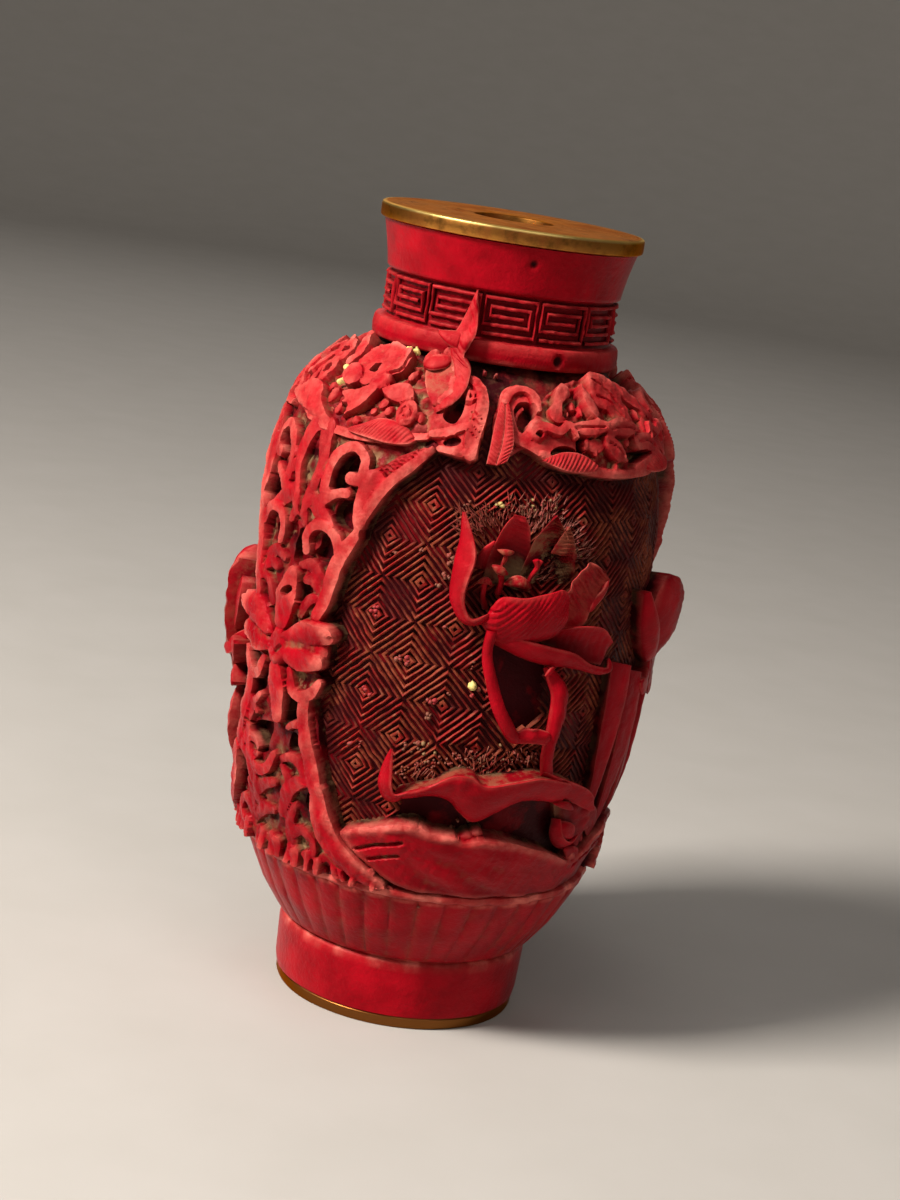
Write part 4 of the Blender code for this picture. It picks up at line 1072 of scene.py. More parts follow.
class LappetSlab(Slab):
    """A slab with the leaning plates and knobs that fill a lappet."""

    def plate(self, points, top, lean=(0.0, 0.0), rounding=0.07, **ways):
        """Raises a flat-topped shape whose top leans by so much to the right and upwards."""
        top = min(top, 1.35 + 0.7 * (top - 1.35))
        cx, cy = np.mean(self.placed(points), 0)
        self.area(points, lambda x, y: top + lean[0] * (x - cx) + lean[1] * (y - cy), rounding=rounding,
            **ways)

    def knob(self, x, z, wide, high, top, rounding=0.3, turn=0.0):
        """An oval knob or disc."""
        c, s = math.cos(turn), math.sin(turn)
        ring = [(0.5 * wide * math.cos(a), 0.5 * high * math.sin(a))
            for a in np.linspace(0, 2 * math.pi, 9)[:-1]]
        self.plate([(x + c * p - s * q, z + s * p + c * q) for p, q in ring], top, rounding=rounding)


def scroll_end_a(slab):
    """The C scroll and curl at the right end of a lappet of the first kind."""
    slab.plate([(-17.2, 56.4), (-16.0, 57.4), (-15.3, 58.3), (-14.2, 58.3), (-12.9, 57.3), (-12.2, 56.3),
        (-12.2, 55.0), (-12.5, 53.6), (-12.5, 52.8), (-13.4, 52.7), (-15.0, 52.95), (-16.4, 53.6),
        (-17.6, 54.1), (-17.8, 55.2)], 1.3, lean=(0.1, 0.0), count=90)
    slab.line([(-15.6, 57.6), (-14.6, 58.0), (-13.4, 57.5), (-12.75, 56.5), (-12.85, 55.4), (-13.15, 54.3),
        (-13.1, 53.0)], [0.45, 0.6, 0.62, 0.6, 0.62, 0.66, 0.5], [1.7, 1.85, 1.75], crown=0.07)
    for left, right, z in ((-13.6, -12.5, 55.9), (-13.6, -12.5, 55.5), (-13.7, -12.6, 55.1),
            (-13.75, -12.75, 54.7)):
        slab.score([(left, z), (right, z - 0.5)], 0.09, 0.16, steps=6)
    slab.sink([(-16.3, 56.0), (-15.5, 57.0), (-14.8, 56.9), (-14.5, 56.1), (-14.8, 55.3), (-15.4, 55.0),
        (-16.3, 55.3)], count=44)
    slab.plate([(-14.5, 56.45), (-14.45, 57.05), (-13.75, 57.05), (-13.7, 56.45)], 2.0, rounding=0.02,
        count=20, smooth=False)
    slab.sink([(-14.25, 56.6), (-14.2, 56.9), (-13.95, 56.85), (-13.95, 56.6)], floor=1.3, count=12)
    slab.line([(-13.4, 55.0), (-14.6, 54.65), (-15.6, 54.3), (-16.8, 54.0)], [0.3, 0.36, 0.4, 0.3],
        [1.75, 1.6], crown=0.05)
    slab.sink([(-15.7, 53.45), (-15.4, 54.0), (-14.7, 54.2), (-14.1, 53.95), (-14.5, 53.5)], count=24)
    slab.line([(-15.9, 53.1), (-14.8, 53.05), (-13.9, 53.0), (-13.3, 53.3)], [0.25, 0.3, 0.3], 1.6,
        crown=0.05)


def scroll_end_b(slab):
    """The hooked scroll and herringbone leaf at the left end of a lappet of the second kind."""
    slab.plate([(-11.0, 57.4), (-9.4, 58.2), (-7.6, 58.0), (-6.4, 57.0), (-5.2, 56.2), (-3.0, 56.2),
        (-2.6, 54.2), (-2.8, 52.8), (-5.2, 52.9), (-7.6, 53.9), (-9.4, 54.4), (-10.6, 55.0)], 1.25,
        lean=(-0.05, 0.0), count=90)
    slab.line([(-10.5, 56.8), (-10.0, 57.4), (-9.0, 57.75), (-8.0, 57.7), (-7.2, 57.2), (-7.1, 56.6)],
        [0.4, 0.46, 0.46, 0.42], [1.8, 1.9, 1.75])
    slab.sink([(-9.6, 56.3), (-9.0, 56.95), (-8.0, 57.05), (-7.3, 56.8), (-7.15, 56.4), (-7.6, 56.0),
        (-8.2, 55.4), (-8.7, 55.05), (-9.2, 55.4)], count=44)
    slab.line([(-9.4, 55.2), (-9.2, 56.2), (-8.5, 56.75)], [0.14, 0.17, 0.14], [1.0, 1.1], crown=0.05)
    slab.knob(-7.2, 55.35, 1.9, 1.5, 1.9)
    slab.sink([(-7.5, 55.0), (-7.1, 55.3), (-6.6, 55.1), (-6.9, 54.8)], floor=0.9, count=16)
    slab.line([(-6.4, 55.6), (-5.0, 55.35), (-3.9, 55.8), (-3.2, 55.2)], [0.4, 0.36, 0.36, 0.3],
        [1.75, 1.85], crown=0.05)
    slab.sink([(-5.9, 53.95), (-5.2, 54.4), (-4.3, 54.55), (-3.3, 54.4), (-2.8, 53.95), (-5.5, 53.75)],
        floor=0.0, count=28)
    slab.sink([(-3.2, 55.4), (-3.1, 54.9), (-3.0, 54.2), (-2.3, 54.0), (-1.9, 54.8), (-1.6, 55.3)],
        floor=0.0, count=28)


MIDDLE_A = -26.07
MIDDLE_B = 2.2


def lappet_leaves(name, shift):
    """The ribbed leaves of one pair of lappets, finely cut from edge to edge."""
    turn = math.degrees(shift / WALL_RADIUS)
    parts = [sheet([(-25.4, 52.95, 1.2), (-23.8, 53.6, 1.35), (-22.3, 54.25, 1.4), (-20.6, 54.35, 1.4),
        (-19.2, 54.05, 1.3), (-18.1, 53.4, 1.2)],
        [(-25.4, 52.85, 1.3), (-24.2, 52.75, 1.7), (-22.6, 52.7, 1.85), (-20.6, 52.65, 1.85),
        (-18.9, 52.85, 1.7), (-18.1, 53.3, 1.3)], thick=0.3, belly=0.12, rows=110, columns=15,
        hatch=(0.36, 0.09, 0.55), turn=turn, gloss=0.1, root=1.0, seed=95)]
    # the two halves of the herringbone leaf, then the leaf on the second lappet's lip
    for *edges, belly, rows, columns, hatch, seed in (
        ([(-11.6, 52.6, 1.45), (-11.45, 54.0, 1.5), (-11.3, 55.5, 1.5), (-11.0, 56.6, 1.45),
            (-10.6, 57.2, 1.4)],
            [(-10.8, 52.6, 1.5), (-10.5, 54.0, 1.6), (-10.42, 55.5, 1.6), (-10.45, 56.5, 1.55),
            (-10.55, 57.2, 1.4)], 0.06, 90, 11, (0.36, 0.09, 0.6), 96),
        ([(-10.76, 52.55, 1.5), (-10.46, 54.0, 1.6), (-10.38, 55.5, 1.6), (-10.41, 56.5, 1.55),
            (-10.5, 57.2, 1.4)],
            [(-9.9, 52.9, 1.7), (-9.5, 54.0, 1.8), (-9.6, 55.1, 1.75), (-9.85, 56.1, 1.65),
            (-10.4, 57.15, 1.4)], 0.06, 90, 11, (0.36, 0.09, -0.6), 97),
        ([(-6.5, 53.45, 1.2), (-5.0, 53.95, 1.4), (-3.5, 54.05, 1.45), (-2.0, 53.75, 1.4),
            (-0.7, 53.1, 1.2)],
            [(-6.5, 53.3, 1.3), (-4.9, 52.75, 1.75), (-3.4, 52.6, 1.8), (-2.0, 52.65, 1.75),
            (-0.7, 53.0, 1.3)], 0.12, 100, 15, (0.4, 0.1, 0.7), 98),
    ):
        for side in (1, -1):
            placed = [[(MIDDLE_B + side * (x - MIDDLE_B), z, lift) for x, z, lift in edge] for edge in edges]
            parts.append(sheet(*placed, thick=0.3, belly=belly, rows=rows, columns=columns, hatch=hatch,
                turn=turn, gloss=0.1, root=1.0, seed=seed))
    gather(name, parts)


def lappet_bed(slab, middle):
    """The sunk dusty bed of a lappet and the thick lip along its lower edge."""
    half = [(0.0, 52.4), (3.4, 52.55), (6.4, 53.15), (8.6, 53.75), (10.4, 54.1), (11.6, 53.5), (12.6, 52.8),
        (13.5, 52.8), (13.6, 54.6), (13.6, 56.3), (12.6, 57.4), (10.6, 57.9), (8.4, 57.6), (6.6, 58.4),
        (3.2, 59.2), (0.0, 59.3)]
    outline = [(middle + x, z) for x, z in half] + [(middle - x, z) for x, z in reversed(half[1:-1])]
    slab.area(outline, lambda x, y: 0.85 + 0.2 * wobble(x, y, 1.3, 77), rounding=0.1, count=150)
    lip = [(-8.8, 53.8), (-6.4, 53.35), (-3.4, 52.8), (0.0, 52.65), (3.4, 52.8), (6.4, 53.35), (8.8, 53.8)]
    slab.line([(middle + x, z) for x, z in lip], [0.3, 0.42, 0.36, 0.42, 0.3], [1.4, 1.5, 1.4], crown=0.07,
        steps=40)


def lappet_a(name, shift, seed):
    """A lappet of the first kind: a broad round petal over a knobbed flower, a leaf along the lip."""
    slab = LappetSlab(shift, -41.0, -11.4, 52.0, 60.2)
    lappet_bed(slab, MIDDLE_A)
    scroll_end_a(slab)
    slab.draw_about(shift + 2 * MIDDLE_A, -1)
    scroll_end_a(slab)
    slab.draw_about(shift)
    # the round petal with its hole, and its right-hand fold
    slab.plate([(-29.6, 57.0), (-28.9, 56.4), (-27.4, 56.3), (-25.8, 56.1), (-24.4, 56.8), (-22.9, 57.2),
        (-22.3, 58.0), (-22.6, 58.8), (-24.0, 59.2), (-26.2, 59.3), (-28.4, 58.8), (-29.5, 57.9)], 1.95,
        lean=(0.03, 0.06), count=80)
    slab.line([(-24.6, 57.0), (-23.5, 57.6), (-23.0, 58.9)], [0.5, 0.75, 0.35], [1.95, 2.3], tilt=-0.12)
    slab.sink([(-26.8, 57.0), (-26.2, 57.7), (-25.6, 57.5), (-25.7, 57.0)], floor=0.5, count=20)
    slab.plate([(-29.4, 56.5), (-28.6, 57.0), (-27.6, 56.9), (-26.8, 56.3), (-27.4, 55.8), (-28.6, 55.9)],
        2.2, lean=(-0.1, 0.1), count=40)
    slab.knob(-23.9, 56.4, 2.4, 1.1, 2.55, rounding=0.4, turn=0.15)
    slab.plate([(-28.0, 55.2), (-28.0, 55.2), (-26.8, 55.5), (-26.0, 55.6), (-24.4, 56.1), (-23.6, 55.9),
        (-24.6, 54.7), (-26.3, 53.8), (-26.3, 53.8), (-26.2, 54.6), (-27.2, 54.6), (-27.2, 54.6),
        (-27.0, 54.9)], 2.0, lean=(0.08, 0.12), count=80)
    slab.plate([(-23.2, 56.0), (-23.2, 56.0), (-21.6, 56.6), (-20.2, 56.5), (-19.6, 56.0), (-19.6, 56.0),
        (-20.9, 55.6), (-22.2, 55.65)], 2.1, lean=(0.0, 0.15), count=36)
    for x, z, wide in ((-22.6, 55.35, 1.0), (-21.7, 54.95, 0.8), (-23.4, 54.7, 0.7), (-24.8, 53.7, 0.8),
            (-27.6, 54.2, 0.9), (-29.3, 54.9, 1.3), (-30.4, 55.4, 0.9), (-18.4, 55.0, 0.8),
            (-17.6, 56.8, 1.1), (-18.3, 57.8, 0.9), (-21.3, 57.6, 1.0), (-30.6, 58.4, 1.0)):
        slab.knob(x, z, wide, 0.75 * wide, 1.5, rounding=0.2, turn=0.4 * x)
    slab.knob(-19.8, 55.0, 2.1, 1.8, 1.8, rounding=0.15)
    slab.score([(-20.4, 54.8), (-20.0, 55.4), (-19.3, 55.2), (-19.4, 54.7), (-19.9, 54.7)], 0.12, 0.2)
    slab.knob(-19.8, 58.8, 2.3, 1.5, 2.5, rounding=0.6)
    slab.line([(-18.0, 59.6), (-16.4, 58.6), (-16.2, 57.2), (-16.9, 56.2)], [1.0, 0.8, 0.6, 0.35],
        [1.9, 1.9, 1.7], crown=0.07)
    # the big blade at the left and the pierced petals over it
    slab.plate([(-35.6, 53.9), (-34.4, 54.6), (-33.0, 55.1), (-31.6, 55.3), (-30.4, 55.0), (-29.8, 54.2),
        (-28.6, 53.6), (-27.6, 53.1), (-29.0, 52.9), (-31.2, 53.2), (-33.4, 53.4)], 2.15, lean=(-0.05, 0.16),
        count=70)
    for x, z in ((-33.2, 56.2), (-34.2, 57.7)):
        slab.knob(x, z, 2.9, 1.6, 1.9, rounding=0.1, turn=-0.5)
        slab.sink([(x - 0.7, z + 0.05), (x - 0.1, z + 0.35), (x + 0.7, z - 0.05), (x, z - 0.3)], floor=0.4,
            count=18)
    slab.line([(-36.4, 58.6), (-35.6, 57.2), (-36.4, 55.6)], [0.5, 0.7, 0.4], [1.8, 1.9])
    slab.line([(-32.4, 59.3), (-31.0, 58.2), (-30.6, 57.0)], [0.7, 0.7, 0.35], [2.0, 1.8])
    slab.finish(name, 0.15, shake=0.12, seed=seed, lighter=0.2)


def lappet_b(name, shift, seed):
    """A lappet of the second kind: long petals to both sides of a knob, one curled over the scroll."""
    slab = LappetSlab(shift, -12.6, 17.0, 52.0, 60.2)
    lappet_bed(slab, MIDDLE_B)
    scroll_end_b(slab)
    slab.draw_about(shift + 2 * MIDDLE_B, -1)
    scroll_end_b(slab)
    slab.draw_about(shift)
    shapes = [
        ([(-3.5, 58.5), (-2.9, 58.2), (-2.8, 57.7), (-3.8, 57.3), (-4.1, 56.9), (-3.8, 56.5), (-4.2, 56.1),
            (-5.1, 55.9), (-5.8, 56.1), (-5.9, 56.6), (-5.1, 57.1), (-4.7, 57.8), (-4.1, 58.3)], 2.0,
            (-0.1, 0.08)),
        ([(-1.0, 58.4), (-1.0, 58.4), (-0.4, 57.8), (-0.1, 57.2), (-0.1, 56.5), (-0.7, 56.2), (-0.7, 56.2),
            (-1.2, 56.5), (-1.5, 57.0), (-1.4, 57.6)], 2.4, (-0.15, 0.0)),
        ([(0.9, 59.3), (2.2, 59.3), (4.3, 58.9), (5.6, 58.1), (5.4, 57.2), (5.9, 56.3), (5.9, 56.3),
            (4.4, 56.0), (3.1, 56.2), (2.3, 56.9), (1.0, 57.2), (0.8, 57.8), (0.7, 58.5)], 1.7,
            (0.05, 0.15)),
        ([(-3.9, 55.6), (-3.9, 55.6), (-3.0, 55.95), (-1.8, 56.05), (-0.6, 56.1), (0.5, 55.9), (0.1, 55.5),
            (-1.1, 55.25), (-2.6, 55.25)], 2.2, (0.1, 0.15)),
        ([(0.4, 55.85), (1.2, 56.1), (2.6, 56.2), (4.0, 56.0), (5.0, 55.6), (5.0, 55.6), (3.6, 55.25),
            (1.9, 55.25), (0.6, 55.3)], 2.4, (0.0, 0.25)),
        ([(0.0, 55.2), (1.1, 55.1), (1.9, 54.7), (2.6, 53.6), (2.6, 53.6), (1.3, 53.6), (0.5, 54.1),
            (0.0, 54.7)], 1.95, (0.0, 0.1)),
        ([(4.3, 55.2), (6.4, 55.4), (7.9, 55.1), (8.9, 54.3), (8.9, 54.3), (7.6, 54.1), (6.4, 54.3),
            (5.0, 54.4), (4.4, 54.7)], 1.8, (0.0, 0.05)),
        ([(5.4, 58.9), (5.4, 58.9), (6.5, 57.7), (8.6, 56.7), (11.2, 55.9), (11.2, 55.9), (10.2, 57.3),
            (8.4, 58.3), (6.8, 58.9)], 1.6, (0.0, 0.0)),
        ([(-2.0, 54.6), (-1.7, 54.9), (-0.8, 55.1), (-0.1, 55.0), (0.0, 54.6), (-0.6, 54.2), (-1.5, 54.2)],
            1.5, (0.0, 0.0)),
    ]
    for points, top, lean in shapes:
        slab.plate(points, top, lean=lean, count=70)
    slab.sink([(-4.5, 56.3), (-4.2, 57.1), (-3.7, 56.9), (-3.8, 56.3)], floor=0.4, count=16)
    slab.sink([(2.6, 54.0), (3.5, 54.25), (4.6, 54.3), (5.8, 54.3), (7.0, 54.1), (6.3, 53.6), (5.0, 53.45),
        (3.5, 53.6)], floor=0.0, count=36)
    slab.line([(4.4, 53.05), (6.5, 53.55), (8.6, 53.85)], [0.35, 0.42, 0.35], [1.6, 1.7], crown=0.07)
    for x, z, wide in ((-2.0, 54.7, 0.9), (-1.1, 54.3, 0.8), (-0.4, 54.8, 0.6), (-2.7, 57.1, 0.8),
            (-1.9, 56.8, 0.7), (3.4, 54.9, 0.7), (5.7, 57.2, 0.9), (8.9, 56.6, 1.0), (7.4, 56.6, 0.7),
            (1.4, 53.1, 0.6)):
        slab.knob(x, z, wide, 0.8 * wide, 1.55, rounding=0.2, turn=x)
    slab.knob(0.3, 55.7, 0.9, 0.6, 2.5, rounding=0.35)
    for points in ([(1.2, 58.9), (3.0, 58.3), (4.8, 57.0)], [(1.4, 57.9), (3.0, 57.5), (4.4, 56.5)],
            [(-3.3, 55.6), (-1.6, 55.7), (0.0, 55.7)],
            [(0.9, 55.6), (2.6, 55.75), (4.4, 55.6)], [(0.4, 54.8), (1.4, 54.5), (2.2, 53.9)],
            [(4.9, 54.9), (6.6, 54.9), (8.2, 54.5)]):
        slab.score(points, 0.12, 0.2)
    slab.finish(name, 0.15, seed=seed, lighter=0.2)


lappet_leaves("lappet_leaves_front", 0.0)
lappet_leaves("lappet_leaves_back", HALF_ROUND)
lappet_a("lappet_1", 0.0, 60)
lappet_b("lappet_2", 0.0, 67)
lappet_a("lappet_3", HALF_ROUND, 74)
lappet_b("lappet_4", HALF_ROUND, 81)


def over_collar(x, z, lift):
    """Places on the outer face of a leaf that climbs from the shoulder over the collar to the fret band."""
    r = np.interp(z, [55.2, 56.3, 57.5, 58.8, 60.0, 61.0, 62.2, 63.6, 66.5],
        [16.0, 15.6, 14.75, 13.4, 12.3, 11.75, 11.5, 10.95, 10.6]) + lift
    return np.stack([r * np.sin(x / WALL_RADIUS), -r * np.cos(x / WALL_RADIUS), z + 0 * r], -1)


def neck_leaf(name, turn):
    """A pointed leaf with one side branch, its right edge turned out to the light."""
    high = {"turn": turn, "wall": over_collar, "gloss": 0.2}
    parts = [
        sheet([(-17.7, 56.6, -0.2), (-16.6, 57.5, 0.1), (-16.2, 58.7, 0.3), (-16.9, 60.0, 0.4),
            (-17.8, 61.0, 0.45), (-18.1, 62.1, 0.45), (-17.5, 63.2, 0.35), (-16.8, 64.8, 0.15),
            (-16.25, 66.35, -0.1)],
            [(-17.1, 56.2, 0.1), (-15.6, 57.2, 0.45), (-14.7, 58.5, 0.7), (-14.8, 60.0, 0.7),
            (-15.9, 60.9, 0.65), (-15.6, 61.7, 0.65), (-15.0, 63.0, 0.6), (-15.4, 64.8, 0.3),
            (-16.1, 66.35, -0.05)], thick=0.9, belly=-0.2, rows=90, columns=17, seed=91, frill=0.25,
            hatch=(0.7, 0.05, 0.8), **high),
        sheet([(-16.6, 62.9, 0.35), (-18.2, 62.75, 0.5), (-20.1, 62.55, 0.35)],
            [(-16.8, 61.2, 0.5), (-18.4, 61.6, 0.75), (-20.0, 62.3, 0.4)], thick=0.8, rows=24, seed=92,
            **high),
        sheet([(-19.2, 60.7, 0.0), (-20.0, 59.4, 0.1), (-19.5, 58.5, 0.15), (-18.8, 57.8, 0.15),
            (-18.1, 57.2, 0.1), (-17.6, 56.7, 0.0)],
            [(-16.6, 60.8, 0.3), (-15.9, 60.0, 0.3), (-15.8, 58.9, 0.35), (-16.0, 58.1, 0.3),
            (-16.4, 57.4, 0.2), (-17.2, 56.6, 0.1)], thick=0.6, belly=-0.1, rows=40, columns=13, seed=93,
            frill=0.15, dust=0.25, hatch=(0.8, 0.04, -0.5), **high),
        leaf([(-20.5, 59.8, 0.2), (-19.0, 60.0, 0.7), (-17.3, 60.3, 0.3)], 1.3, rows=20, blunt=0.6,
            belly=0.3, thick=0.5, seed=94, **high),
    ]
    gather(name, parts)


neck_leaf("neck_leaf_1", 0.0)
neck_leaf("neck_leaf_2", 180.0)


# ---- The gadroon ring: forty upright lobes cut round the flare above the foot, each ending in a small
# rounded nub under the ledge.

LOBES = 40
lobe_columns = LOBES * 12
lobe_z = np.concatenate([[6.75, 6.95, 7.15], np.linspace(7.5, 12.9, 12), [13.4, 13.7, 13.95, 14.1, 14.15]])
lobe_base = np.interp(lobe_z, [6.7, 7.3, 9.8, 12.6, 14.15], [11.65, 12.0, 13.7, 15.05, 15.6])
lobe_rise = np.interp(lobe_z, [6.75, 7.1, 7.6, 12.9, 13.5, 13.9, 14.15],
    [0.0, 0.2, 0.27, 0.33, 0.45, 0.36, 0.0])
angle = np.linspace(0, 2 * math.pi, lobe_columns, endpoint=False)[None, :]
lean = 0.012 * wobble(angle * 14, lobe_z[:, None] * 0.6, 8.0, 91)
turn_of = (angle + lean) * LOBES / (2 * math.pi)
bulge = np.sqrt(np.maximum(1 - (2 * (turn_of % 1) - 1) ** 2, 0.0))
lobe_index = np.floor(turn_of).astype(int) % LOBES
uneven = np.random.default_rng(8).uniform(0.78, 1.12, LOBES)[lobe_index]
lobe_r = lobe_base[:, None] + lobe_rise[:, None] * bulge * uneven - 0.1
outer = np.stack([lobe_r * np.sin(angle), -lobe_r * np.cos(angle), lobe_z[:, None] + 0 * angle], -1)
inner_r = lobe_base[:, None] - 0.9
inner = np.stack([inner_r * np.sin(angle), -inner_r * np.cos(angle), lobe_z[:, None] + 0 * angle], -1)[::-1]
lobe_points = np.concatenate([outer, inner[[0, -1]]])
lobe_faces = grid_faces(len(lobe_points), lobe_columns, round_rows=True, round_columns=True)
# Lift and hollow here only set the painted shade: darker in the grooves between the lobes. The nub caps take
# the lighter edge tone, partly wear and partly a painted highlight.
lobe_hollow = np.concatenate([1 - bulge, np.zeros((2, lobe_columns))])
lobe_lift = np.concatenate([0.45 + 1.5 * bulge, np.zeros((2, lobe_columns))])
gadroons = new_piece("gadroon_ring", lobe_points, lobe_faces, cinnabar, 60.0, lift=0.7 + 0.6 * lobe_lift,
    hollow=0.2 * lobe_hollow,
    ridge=np.concatenate([0.9 * bulge * (lobe_z[:, None] > 13.6), np.zeros((2, lobe_columns))]),
    gloss=np.full(lobe_lift.shape, 0.97))
carved_from_coat(gadroons)


# ---- The fret band round the neck: thirteen square spirals of thin raised lines on a sunk dark ground.

FRET_UNITS = 13
NECK_RADIUS = 9.92


def on_neck(x, z, lift):
    """Points of the neck's upright wall, x measured round the body's unrolled wall."""
    angle = x / WALL_RADIUS
    r = NECK_RADIUS + lift
    return np.stack([r * np.sin(angle), -r * np.cos(angle), z + 0 * angle], -1)


fret_bars = []
fret_pitch = TURN_ROUND / FRET_UNITS
fret_start = math.radians(-76) * WALL_RADIUS
rows = (62.85, 63.62, 64.36, 65.12, 65.9)
gap = 0.84
inset = 0.95
for unit in range(FRET_UNITS):
    left = fret_start + unit * fret_pitch + gap / 2
    right = left + fret_pitch - gap
    spiral = [(left, rows[0]), (right, rows[0]), (right, rows[4]), (left, rows[4]), (left, rows[1]),
        (right - inset, rows[1]), (right - inset, rows[3]), (left + inset, rows[3]), (left + inset, rows[2]),
        (right - 2 * inset, rows[2])]
    fret_bars.append((*bar(dense(spiral, 0.55), 0.2, 0.4, shake=0.03, seed=70 + unit), False))
points, faces, lifts = join_bars(fret_bars, on_neck)
# The kept lift only sets the painted shade here: dark at the foot of each line, lighter on its top.
fret = new_piece("fret_band", points, faces, cinnabar, 50.0,
    lift=np.interp(lifts, [-0.1, 0.05, 0.4], [0.1, 0.5, 1.5]), hollow=np.zeros(len(lifts)),
    ridge=np.where(lifts > 0.3, 0.1, 0), gloss=np.full(len(lifts), 0.3))
carved_from_coat(fret)


# ---- The lotus panels: an open bloom on curved stalks over a big curling leaf and a bank of rock, and a
# second bloom among tall blades at the right. Petals and leaves are thin lacquer, undercut so they stand
# off the ground.


